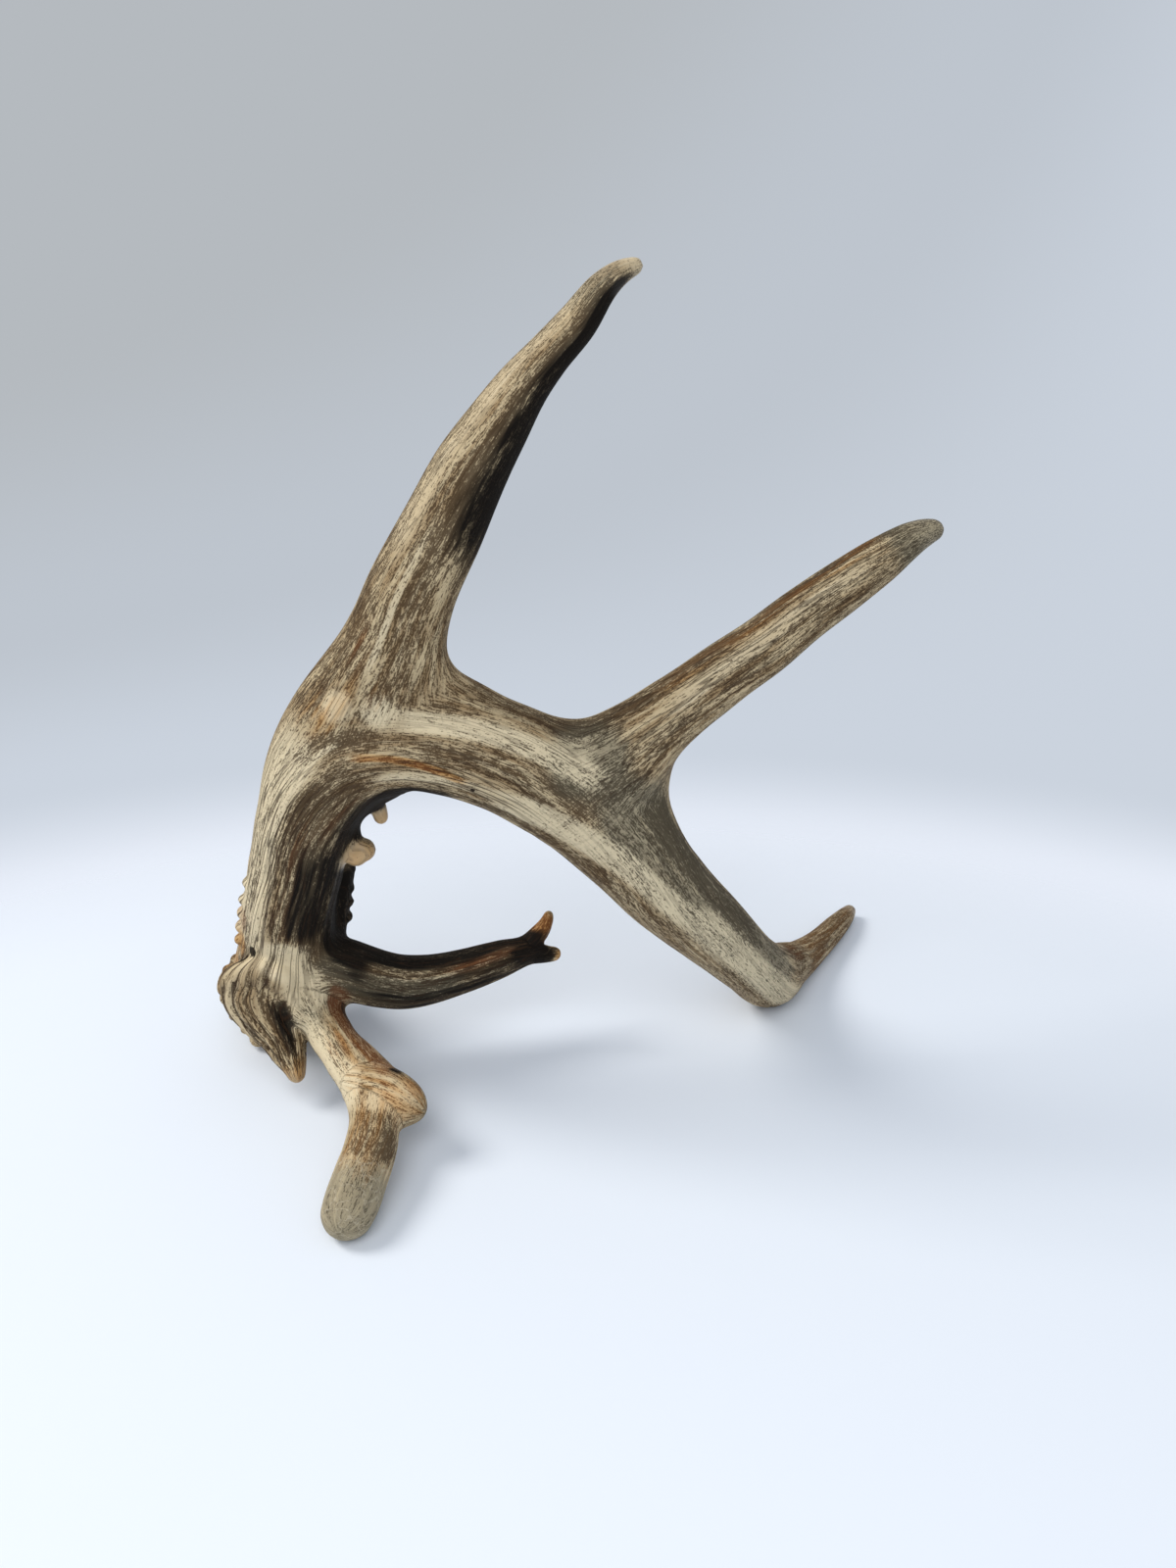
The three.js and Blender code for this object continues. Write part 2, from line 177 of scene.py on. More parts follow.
@dataclass
class Limb:
    """A round limb: stations of x, y, z, half-width in the antler's plane and half-depth along Y.

    Angles round it are degrees: 0 is the left or upper side, -90 the front, 180 the right or under side.
    Softness is how readily its joins with other limbs are rounded off.
    """

    stations: tuple[tuple[float, ...], ...]
    step: float = 1.5
    sides: int = 56
    softness: float = 1.0
    points: Array = field(init=False)
    sizes: Array = field(init=False)
    along: Array = field(init=False)
    tangents: Array = field(init=False)
    depths: Array = field(init=False)
    widths: Array = field(init=False)
    length: float = field(init=False)

    def __post_init__(self) -> None:
        """Resamples the curve evenly and carries the section's axes along it without a twist."""
        table = np.array(self.stations, float)
        line = table[:, :3] + ORIGIN_SHIFT
        share = np.linspace(0, 1, CURVE_SAMPLES * len(table))
        run = np.linalg.norm(np.diff(catmull_rom(line, share, True), axis=0), axis=1)
        run = np.concatenate([[0.0], np.cumsum(run)])
        self.length = float(run[-1])
        self.along = np.linspace(0, self.length, int(self.length / self.step) + 2)
        share = np.interp(self.along, run, share)
        self.points = catmull_rom(line, share, True)
        self.sizes = catmull_rom(table[:, 3:5], share, False)
        self.tangents = unit(np.gradient(self.points, axis=0))
        depth = np.array([0.0, 1.0, 0.0])
        depths = []
        for tangent in self.tangents:
            depth = depth - depth @ tangent * tangent
            depth = depth / np.linalg.norm(depth)
            depths.append(depth)
        self.depths = np.array(depths)
        self.widths = np.cross(self.tangents, self.depths)

    def tube(self) -> tuple[Array, Array]:
        """The limb's closed skin: an ellipse at each ring, flat at the root and round at the end.

        Returns:
            Points, and triangles that face outwards.
        """
        tip = float(self.sizes[-1, 0])
        body = np.linspace(0, self.length - tip, int((self.length - tip) / self.step) + 2)
        turn = np.linspace(0, math.pi / 2, TIP_RINGS)[1:-1]
        rings = np.concatenate([body, self.length - tip + tip * np.sin(turn)])
        shrink = np.concatenate([np.ones(len(body)), np.cos(turn)])
        centre, wide, deep, size = (
            np.stack([np.interp(rings, self.along, column) for column in table.T], axis=1)
            for table in (self.points, self.widths, self.depths, self.sizes)
        )
        angle = np.linspace(0, 2 * math.pi, self.sides, endpoint=False)
        shift = (
            np.cos(angle)[None, :, None] * (wide * size[:, :1] * shrink[:, None])[:, None]
            + np.sin(angle)[None, :, None] * (deep * size[:, 1:] * shrink[:, None])[:, None]
        )
        grid = (centre[:, None] + shift).reshape(-1, 3)
        points = np.vstack([grid, centre[:1], self.points[-1:]])
        return points, closed_grid_faces(len(rings), self.sides)

    def place(self, points: Array) -> LimbPlace:
        """Where each point lies on this limb, from the nearest point of its middle line.

        Args:
            points: one row of x, y and z in mm for each point.

        Returns:
            Each point's distance along the limb, angle round it, reach from its middle line in radii, and
            the limb's radius there.
        """
        line = self.points.astype(np.float32)
        line_square = (line**2).sum(axis=1)
        index = np.concatenate(
            [
                (line_square - 2 * points[i : i + NEAREST_CHUNK].astype(np.float32) @ line.T).argmin(axis=1)
                for i in range(0, len(points), NEAREST_CHUNK)
            ]
        )
        offset = points - self.points[index]
        forward = dots(offset, self.tangents[index])
        size = self.sizes[index]
        across = dots(offset, self.widths[index]) / size[:, 0]
        deep = dots(offset, self.depths[index]) / size[:, 1]
        radius = size.mean(axis=1)
        beyond = np.maximum(np.abs(forward) - self.step, 0) / radius
        return LimbPlace(
            along=self.along[index] + np.clip(forward, -self.step, self.step),
            angle=np.arctan2(deep, across),
            reach=np.sqrt(across**2 + deep**2 + beyond**2),
            radius=radius,
        )

    def at(self, share: float) -> tuple[Array, Array]:
        """Middle point and direction at a share of the length.

        Args:
            share: 0 at the limb's root, 1 at its end.

        Returns:
            The middle point in mm and the unit direction.
        """
        spot = share * self.length
        mix = [np.interp(spot, self.along, column) for column in (*self.points.T, *self.tangents.T)]
        return np.array(mix[:3]), unit(np.array(mix[3:]))


def closed_grid_faces(rings: int, sides: int) -> Array:
    """Triangles of a tube whose grid points come first, then the root's middle and the end's middle.

    Args:
        rings: how many rings of points the tube has.
        sides: how many points each ring has.

    Returns:
        One row of three point numbers for each triangle, facing outwards.
    """
    ring, side = np.meshgrid(np.arange(rings - 1), np.arange(sides), indexing="ij")
    a = (ring * sides + side).ravel()
    b = (ring * sides + (side + 1) % sides).ravel()
    wall = np.concatenate(
        [np.stack([a, a + sides, b + sides], axis=1), np.stack([a, b + sides, b], axis=1)]
    )
    here = np.arange(sides)
    after = (here + 1) % sides
    last = (rings - 1) * sides
    root = np.full(sides, rings * sides)
    root_cap = np.stack([root, here, after], axis=1)
    end_cap = np.stack([root + 1, last + after, last + here], axis=1)
    return np.concatenate([wall, root_cap, end_cap])


def ball(centre: Array, radius: float) -> tuple[Array, Array]:
    """A small closed sphere: rings of latitude between two poles.

    Args:
        centre: its middle in mm.
        radius: its radius in mm.

    Returns:
        The sphere's points and its triangles.
    """
    rings, sides = 9, 18
    height = np.linspace(0, math.pi, rings + 2)[1:-1]
    angle = np.linspace(0, 2 * math.pi, sides, endpoint=False)
    grid = np.stack(
        [
            np.outer(np.sin(height), np.cos(angle)),
            -np.outer(np.sin(height), np.sin(angle)),
            np.outer(-np.cos(height), np.ones(sides)),
        ],
        axis=-1,
    ).reshape(-1, 3)
    points = np.vstack([grid, [[0, 0, -1]], [[0, 0, 1]]])
    return centre + radius * points, closed_grid_faces(rings, sides)


BEAM = Limb(
    (
        (-136.2, 29.6, 17.2, 22, 22), (-133.8, 25, 22.2, 24.4, 24.4), (-127.5, 9, 42, 22.5, 22),
        (-121, -4, 67, 20.5, 21), (-116.5, -11, 90, 19.5, 20.5), (-111, -16, 110, 19.5, 19.5),
        (-105.5, -21, 131, 20, 19), (-96.5, -25, 150, 21.5, 19), (-82.5, -27, 164, 22, 19),
        (-64, -29, 170.5, 21.5, 18.5), (-42, -29, 169, 22.5, 18), (-20, -28, 161.5, 23.5, 17.5),
        (2, -25, 146.5, 24, 17), (23.5, -19, 124, 22.6, 16.5), (45.5, -9, 92, 19.3, 16),
        (66, 5, 65, 17.2, 15), (86, 25, 35.5, 15, 14.5), (99.5, 45, 16, 15.8, 15.8),
        (108.5, 57, 12.6, 13.2, 12.6), (115.5, 66, 10.5, 10.6, 10.2), (129.5, 86, 8, 7.8, 7.6),
        (143, 108, 6.6, 6.4, 6.2), (150.5, 121, 5.6, 4.8, 4.8), (155.5, 130.5, 5, 3, 3),
    ),
    sides=96,
)
SECOND_TINE = Limb(
    (
        (-86, -26, 156, 27, 17), (-73, -28, 186, 25.5, 17.5), (-63, -30, 210, 20.5, 16),
        (-54.5, -31.5, 232, 17, 15), (-42.5, -32, 255, 15.5, 13.5), (-31.5, -30.5, 276, 13.8, 12),
        (-22, -28, 290.5, 11.8, 10.8), (-12.5, -24, 304, 9.7, 9.2), (-3.5, -19.5, 314, 8.2, 8),
        (7, -13.5, 324.8, 7.4, 6.8), (16, -6.5, 336, 5.8, 5.4), (22.5, -2.5, 341, 4.5, 4.3),
        (30.5, 2, 344, 2.8, 2.8),
    ),
    sides=80,
)
THIRD_TINE = Limb(
    (
        (6, -25, 145, 27, 15), (24, -24, 161, 21, 14.5), (37.5, -22, 172.5, 16, 13.5),
        (50.5, -20, 182.5, 13.8, 12), (65.5, -18, 194, 12.7, 11), (80.5, -15, 204, 12, 10.3),
        (95, -11, 215, 11.2, 9.5), (110, -7, 225, 10.6, 9), (124.5, -3, 234.5, 9.4, 8.2),
        (137.5, 1, 242.5, 7, 6.4), (144.5, 3.5, 245, 5.3, 5), (151, 5.5, 246, 3.2, 3.2),
    ),
    sides=72,
)
FRONT_TINE = Limb(
    (
        (-115, -1, 56, 15, 15), (-111, -10, 44, 12, 13), (-104, -24, 33.5, 9.8, 11),
        (-92, -41, 28, 10.2, 10.8), (-81, -59, 23.5, 11.2, 10.5), (-76.5, -73, 19.5, 10.4, 10.2),
        (-76.5, -87, 16, 10.8, 10.4), (-78.5, -100, 13, 10.9, 10.8), (-80.5, -112, 10.2, 10.8, 10.8),
        (-83, -126.5, 8.6, 8.8, 8.6),
    )
)
FRONT_KNOB = Limb(
    (
        (-81, -58, 24.5, 11.5, 10.5), (-72, -62, 25, 12.5, 10), (-64, -66, 23, 12, 8.6),
        (-54.8, -69.5, 20, 8, 6.5),
    )
)
SIDE_TINE = Limb(
    (
        (-114, -4, 54, 16, 15), (-98.5, -7, 51.5, 14, 13.5), (-81.5, -4.5, 44.5, 12.8, 12),
        (-72, -2, 41.5, 12.2, 11.5), (-60, 1, 41, 11.3, 10.5), (-45, 5, 43, 10.2, 9.2),
        (-33.5, 9, 45, 9.5, 8), (-24.5, 12, 46.7, 8.8, 6.8), (-13, 15.5, 48, 7.4, 4.6),
    )
)
UPPER_PRONG = Limb(
    ((-18, 14, 49, 6.2, 5), (-11.5, 16.5, 55.5, 4.6, 4), (-8, 18, 61, 3.1, 3), (-6.3, 19, 66.2, 2, 2)),
    step=1.0,
)
LOWER_PRONG = Limb(
    ((-18, 14, 47, 6.2, 5), (-9.5, 16.5, 44.8, 4.6, 4), (-1.5, 19, 43.5, 2.9, 2.9)),
    step=1.0,
)
KICKER = Limb(
    (
        (-130.5, -21, 57, 12, 8), (-132, -21.5, 48, 16, 8.5), (-128.2, -23.5, 38, 13.2, 8.3),
        (-122.8, -26.5, 30, 10, 7.6), (-119, -30.8, 22.5, 7.5, 6.4), (-116.5, -34.5, 17.5, 5, 4.8),
        (-114.8, -38.5, 13, 3, 3),
    ),
    softness=0.25,
)
KICKER_SHELF = Limb(
    (
        (-147.5, -15, 46.5, 4.5, 5), (-142.5, -20, 54.5, 5.5, 6), (-133.5, -24, 59.8, 6, 6.5),
        (-126, -25.5, 61.8, 6, 6.5), (-120.5, -26, 59, 6, 6.5), (-117, -27, 52, 5.5, 6),
    ),
    softness=0.12,
)
KICKER_WEB = Limb(((-121, -24, 54, 6, 6), (-115.5, -26.5, 44.5, 6, 6), (-111.5, -28, 36, 4.5, 5)))
INNER_RIDGE = Limb(
    (
        (-98, 0, 106, 4, 5), (-96, 2.5, 97, 5, 5.5), (-98, 4, 86, 5, 6.5), (-101, 5.5, 72.5, 5.2, 8),
        (-106, 5, 58, 8, 10),
    ),
    softness=0.35,
)
BROW_SADDLE = Limb(
    (
        (-133, -15, 61, 4.5, 5), (-125, -19, 65.5, 5, 5.5), (-117, -20, 63, 5.5, 6),
        (-110, -19, 54, 7, 7), (-104, -20, 44, 7.5, 7.5),
    ),
    softness=0.5,
)
SHOULDER_WEB = Limb(
    (
        (-112, -22, 124, 13, 12), (-107, -25, 149.5, 14, 12), (-100, -27, 168, 14, 12),
        (-91, -28, 184, 13.5, 12), (-80, -29, 199, 13, 11), (-70, -30, 213, 12, 10),
    )
)
SECOND_TINE_WEB = Limb(
    (
        (-55, -30, 216, 10, 9), (-51, -30, 200, 10, 10), (-45, -29, 190, 10.5, 10),
        (-34, -28, 183.5, 10.5, 10), (-20, -27, 176, 10, 10),
    )
)
THIRD_TINE_WEB = Limb(
    ((-14, -26, 172, 9.5, 9), (2, -25, 167.5, 10, 9), (14, -24, 167, 10, 9), (26, -23, 172, 9, 8))
)
BEAM_END_WEB = Limb(
    (
        (50, -20, 176, 7, 8), (41, -20, 165, 8.5, 9), (36.5, -18, 152.5, 9, 9), (35.5, -16, 142, 9, 9),
        (38, -14, 130, 9, 9), (44, -11, 116, 9, 9),
    )
)
KNOB_WEB = Limb(((-90, -38, 29.5, 8, 8), (-77.5, -52, 26, 8.5, 8), (-66, -64, 23.5, 8, 7)))
KNOB_ROOT = Limb(
    (
        (-67, -23, 151, 8, 9), (-76.5, -20, 145, 8, 9), (-84, -18.5, 138, 7, 8),
        (-88, -18, 129, 5.5, 6), (-87, -17.5, 122, 3.8, 4), (-85, -17, 116, 4, 4),
    ),
    softness=0.35,
)
LARGE_KNOB_NECK = Limb(
    ((-99, -17, 119, 8, 8), (-91, -17, 116, 5.8, 5.8), (-85.5, -17, 115, 4.8, 4.8)), softness=0.25
)
SMALL_KNOB = Limb(
    (
        (-78.5, -17, 140, 5.5, 6), (-76.2, -15.5, 135, 3.9, 4), (-75.1, -14.8, 130.5, 3.3, 3.4),
        (-74.9, -14.5, 126.4, 2.8, 2.8),
    ),
    step=1.0,
    softness=0.25,
)

TINES = (SECOND_TINE, THIRD_TINE, FRONT_TINE, SIDE_TINE, KICKER, UPPER_PRONG, LOWER_PRONG, FRONT_KNOB)
WEBS = (
    INNER_RIDGE, BROW_SADDLE, SHOULDER_WEB, SECOND_TINE_WEB, THIRD_TINE_WEB, BEAM_END_WEB, KNOB_WEB,
    KICKER_SHELF, KICKER_WEB, KNOB_ROOT, LARGE_KNOB_NECK, SMALL_KNOB,
)

PEARLS = (
    (-86, -17, 113.6, 5.3), (-82.8, -17, 115.4, 5.1), (-93, 3, 96, 2.7), (-94.2, 3.5, 86.5, 2.7),
    (-95.2, 4, 79.5, 2.5), (-96.6, 4.5, 71.5, 2.8), (-132.7, -18.5, 101, 2.3), (-135.4, -16, 91.5, 2.5),
    (-137.2, -13.6, 83.5, 2.7), (-139.2, -11.4, 75.5, 2.7), (-141, -9.4, 68, 2.6), (-136, 12, 72, 2.6),
    (-129, 9, 86, 2.6), (-121, 11, 78, 2.7), (-110, 15, 72, 2.5), (-128, 19.5, 68, 2.6),
    (-117, 20, 59, 2.6),
)


@dataclass(frozen=True)
class Burr:
    """The ring of uneven pearls round the beam's seat."""

    centre: Triple = (-134.4, 26.5, 20.1)
    radius: float = 24.8
    count: int = 22
    size: float = 3.8
    unevenness: float = 0.6
    shift: float = 0.18

    def pearls(self) -> Array:
        """Centre and radius of each pearl, spaced a little unevenly on a ring square to the beam.

        Returns:
            One row of x, y, z and radius in mm for each pearl.
        """
        number = np.arange(self.count)
        turn = (number + self.shift * np.sin(5 * number)) / self.count * 2 * math.pi
        radius = self.radius + self.unevenness * np.sin(3.7 * number)
        size = self.size + self.unevenness * np.sin(2.3 * number + 1)
        tangent = BEAM.at(0.01)[1]
        across = unit(np.cross([0, 0, 1], tangent))
        up = np.cross(tangent, across)
        spot = (
            np.array(self.centre)
            + (radius * np.cos(turn))[:, None] * across
            + (radius * np.sin(turn))[:, None] * up
        )
        return np.column_stack([spot, size])


# ---- The skin ----


def placed(name: str, data: bpy.types.ID | None) -> bpy.types.Object:
    """A new object in the scene, at the origin.

    Args:
        name: the object's name.
        data: what it holds, such as a mesh, a lamp or a camera.

    Returns:
        The object, linked to the scene.
    """
    made = bpy.data.objects.new(name, data)
    bpy.context.scene.collection.objects.link(made)
    return made


def mesh_from(name: str, points: Array, *face_sets: Array) -> bpy.types.Mesh:
    """A mesh from arrays of points and faces; each face set is one array with a row for each face.

    Args:
        name: the mesh's name.
        points: one row of x, y and z for each point.
        face_sets: point numbers, one row for each face.

    Returns:
        The mesh, with the faces in the order given.
    """
    mesh = bpy.data.meshes.new(name)
    corners = np.concatenate([faces.ravel() for faces in face_sets]).astype(np.int32)
    totals = np.concatenate([np.full(len(faces), faces.shape[1]) for faces in face_sets])
    starts = np.concatenate([[0], np.cumsum(totals)[:-1]]).astype(np.int32)
    mesh.vertices.add(len(points))
    mesh.vertices.foreach_set("co", points.astype(np.float32).ravel())
    mesh.loops.add(len(corners))
    mesh.loops.foreach_set("vertex_index", corners)
    mesh.polygons.add(len(totals))
    mesh.polygons.foreach_set("loop_start", starts)
    mesh.update(calc_edges=True)
    return mesh


@dataclass
class Skin:
    """The antler's whole outer surface as arrays of points and of faces with four corners."""

    points: Array
    quads: Array
    leave: Array = field(init=False)
    arrive: Array = field(init=False)
    degree: Array = field(init=False)

    def __post_init__(self) -> None:
        """Lists the half-edges: on a closed skin each neighbour pair is met once in each direction."""
        self.leave = self.quads.ravel()
        self.arrive = np.roll(self.quads, -1, axis=1).ravel()
        self.degree = np.bincount(self.leave, minlength=len(self.points)).astype(float)

    @classmethod
    def around(cls, shells: list[tuple[Array, Array]]) -> "Skin":
        """One voxel skin round closed shells that run into each other.

        Args:
            shells: points and triangles of each shell.

        Returns:
            The skin of their union.
        """
        counts = np.cumsum([0] + [len(points) for points, _ in shells])
        points = np.vstack([points for points, _ in shells])
        faces = np.vstack([faces + start for (_, faces), start in zip(shells, counts)])
        mesh = mesh_from("shells", points, faces)
        holder = placed("shells", mesh)
        remesh = holder.modifiers.new("skin", "REMESH")
        remesh.mode = "VOXEL"
        remesh.voxel_size = VOXEL
        graph = bpy.context.evaluated_depsgraph_get()
        made = bpy.data.meshes.new_from_object(holder.evaluated_get(graph))
        found = np.empty(len(made.vertices) * 3, np.float32)
        made.vertices.foreach_get("co", found)
        corners = np.empty(len(made.loops), np.int32)
        made.loops.foreach_get("vertex_index", corners)
        if len(corners) != 4 * len(made.polygons):
            raise ValueError("the voxel skin has faces that don't have four corners")
        bpy.data.objects.remove(holder)
        bpy.data.meshes.remove(mesh)
        bpy.data.meshes.remove(made)
        return cls(found.reshape(-1, 3).astype(float), corners.reshape(-1, 4).astype(np.int64)).largest()

    def largest(self) -> "Skin":
        """The skin's largest connected part: labels spread along edges until none changes.

        Returns:
            A new skin of that part alone, with its points numbered afresh.
        """
        label = np.arange(len(self.points))
        while True:
            lower = label.copy()
            np.minimum.at(lower, self.leave, label[self.arrive])
            lower = lower[lower]
            if np.array_equal(lower, label):
                break
            label = lower
        names, counts = np.unique(label, return_counts=True)
        kept = label == names[counts.argmax()]
        renumber = np.cumsum(kept) - 1
        quads = self.quads[kept[self.quads[:, 0]]]
        return Skin(self.points[kept], renumber[quads])

    def averages(self, values: Array) -> Array:
        """The mean of the neighbours of each point, for values with one row for each point."""
        return sums(self.leave, values[self.arrive], len(self.points)) / self.degree[:, None]

    def relax(self, rounds: int, weight: Array | float) -> None:
        """Moves each point towards the middle of its neighbours, by a share of the way each round."""
        share = np.broadcast_to(np.asarray(weight, float), len(self.points))[:, None]
        for _ in range(rounds):
            self.points += share * (self.averages(self.points) - self.points)

    def normals(self) -> Array:
        """Outward direction at each point: the sum of its faces' area vectors.

        Returns:
            One unit vector for each point.
        """
        a, b, c, d = (self.points[self.quads[:, k]] for k in range(4))
        area = np.cross(c - a, d - b)
        return unit(sums(self.leave, np.repeat(area, 4, axis=0), len(self.points)))


# ---- Grain: how each point of the skin lies on the limbs ----


@dataclass
class Grain:
    """The way the grain runs at each point: along the beam, along the nearest tine, and the mix."""

    beam: LimbPlace
    tine: LimbPlace
    which: Array
    mix: Array
    places: dict[int, LimbPlace]

    @classmethod
    def of(cls, points: Array) -> "Grain":
        """Finds every point's place on the beam and on the tine that it lies deepest in.

        Args:
            points: one row of x, y and z in mm for each point.

        Returns:
            The grain at those points.
        """
        beam = BEAM.place(points)
        places = {i: tine.place(points) for i, tine in enumerate(TINES)}
        which = np.stack([place.reach for place in places.values()]).argmin(axis=0)
        picked = [
            np.choose(which, [getattr(place, name) for place in places.values()])
            for name in ("along", "angle", "reach", "radius")
        ]
        tine = LimbPlace(*picked)
        mix = smoothstep(beam.reach - tine.reach, -MIX_REACH, MIX_REACH)
        return cls(beam, tine, which, mix, places)

    def on(self, limb: Limb) -> LimbPlace:
        """The points' places on one limb."""
        return self.beam if limb is BEAM else self.places[TINES.index(limb)]

    def lies_on(self, tine: Limb) -> Array:
        """Which points lie deepest in this tine."""
        return self.which == TINES.index(tine)


def flow_of(place: LimbPlace, mean_radius: float | Array, start: float | Array) -> Array:
    """Straightened coordinates: a point round the limb's own circle, and its distance along it.

    The circle shrinks with the square root of the limb's radius, so that marks crowd towards a tip.

    Args:
        place: the points' places on the limb.
        mean_radius: the limb's mean radius in mm.
        start: what the distance starts from, so that no two limbs share their marks.

    Returns:
        One row of three coordinates in mm for each point.
    """
    radius = np.sqrt(mean_radius * np.maximum(place.radius, 1.0))
    angle = place.angle + place.along / GRAIN_TURN
    return np.stack([radius * np.cos(angle), radius * np.sin(angle), place.along + start], axis=1)


def flows(grain: Grain) -> tuple[Array, Array]:
    """The flow along the beam and the flow along the nearest tine, for each point.

    Args:
        grain: the points' places on the limbs.

    Returns:
        The two flows, each with one row of three coordinates for each point.
    """
    mean = np.array([tine.sizes.mean() for tine in TINES])
    start = TINES_APART * (1 + np.arange(len(TINES)))
    return (
        flow_of(grain.beam, float(BEAM.sizes.mean()), 0.0),
        flow_of(grain.tine, mean[grain.which], start[grain.which]),
    )


# ---- Stains and painted shade ----


class Stain(Enum):
    """What colours the bone: stains and marks, and in the darkest mark also painted shade."""

    # the dark mark holds dark stains and also painted shade on sides and in hollows turned from the lamps
    DARK = "dark"
    BROWN = "brown"
    RUST = "rust"
    OCHRE = "ochre"
    CREAM = "cream"
    GREY = "grey"
    GROOVE = "groove"
    CRACKLE = "crackle"
    POLISH = "polish"
    CLEAN = "clean"


@dataclass(frozen=True)
class Stripe:
    """A stain that runs along a limb, from and to in mm, round an angle in degrees.

    Drift is how many degrees the angle turns for each mm from the start.
    """

    stain: Stain
    limb: Limb
    start: float
    end: float
    angle: float
    spread: float
    strength: float = 1.0
    fade: float = 12.0
    drift: float = 0.0

    def amount(self, grain: Grain, points: Array) -> Array:
        """How strongly the stripe shows at each point: soft at both ends, both sides and off the limb.

        Args:
            grain: the points' places on the limbs.
            points: one row of x, y and z in mm for each point.

        Returns:
            One value for each point, from 0 to the stripe's strength.
        """
        place = grain.on(self.limb)
        ends = smoothstep(place.along, self.start - self.fade, self.start + self.fade)
        ends *= smoothstep(place.along, self.end + self.fade, self.end - self.fade)
        middle = self.angle + self.drift * (place.along - self.start)
        turn = np.abs((np.degrees(place.angle) - middle + 180) % 360 - 180)
        sides = smoothstep(turn / self.spread, *MARK_EDGE)
        near = smoothstep(place.reach, *OFF_LIMB)
        return self.strength * ends * sides * near


@dataclass(frozen=True)
class Spot:
    """A round stain at a place."""

    stain: Stain
    centre: Triple
    radius: float
    strength: float = 1.0

    def amount(self, grain: Grain, points: Array) -> Array:
        """How strongly the spot shows at each point."""
        away = np.linalg.norm(points - np.array(self.centre), axis=1)
        return self.strength * smoothstep(away / self.radius, *MARK_EDGE)


def stripes(limb: Limb, *rows: tuple) -> tuple[Stripe, ...]:
    """Stripes on one limb: each row has the stain, then what a stripe takes after its limb."""
    return tuple(Stripe(stain, limb, *rest) for stain, *rest in rows)


def spots(*rows: tuple) -> tuple[Spot, ...]:
    """Spots: each row has the stain, then x, y, z, the radius and the strength."""
    return tuple(Spot(stain, (x, y, z), *rest) for stain, x, y, z, *rest in rows)


ALL_ROUND = 360.0
DARK, BROWN, RUST, OCHRE, CREAM, GREY, GROOVE, CRACKLE, POLISH, CLEAN = Stain

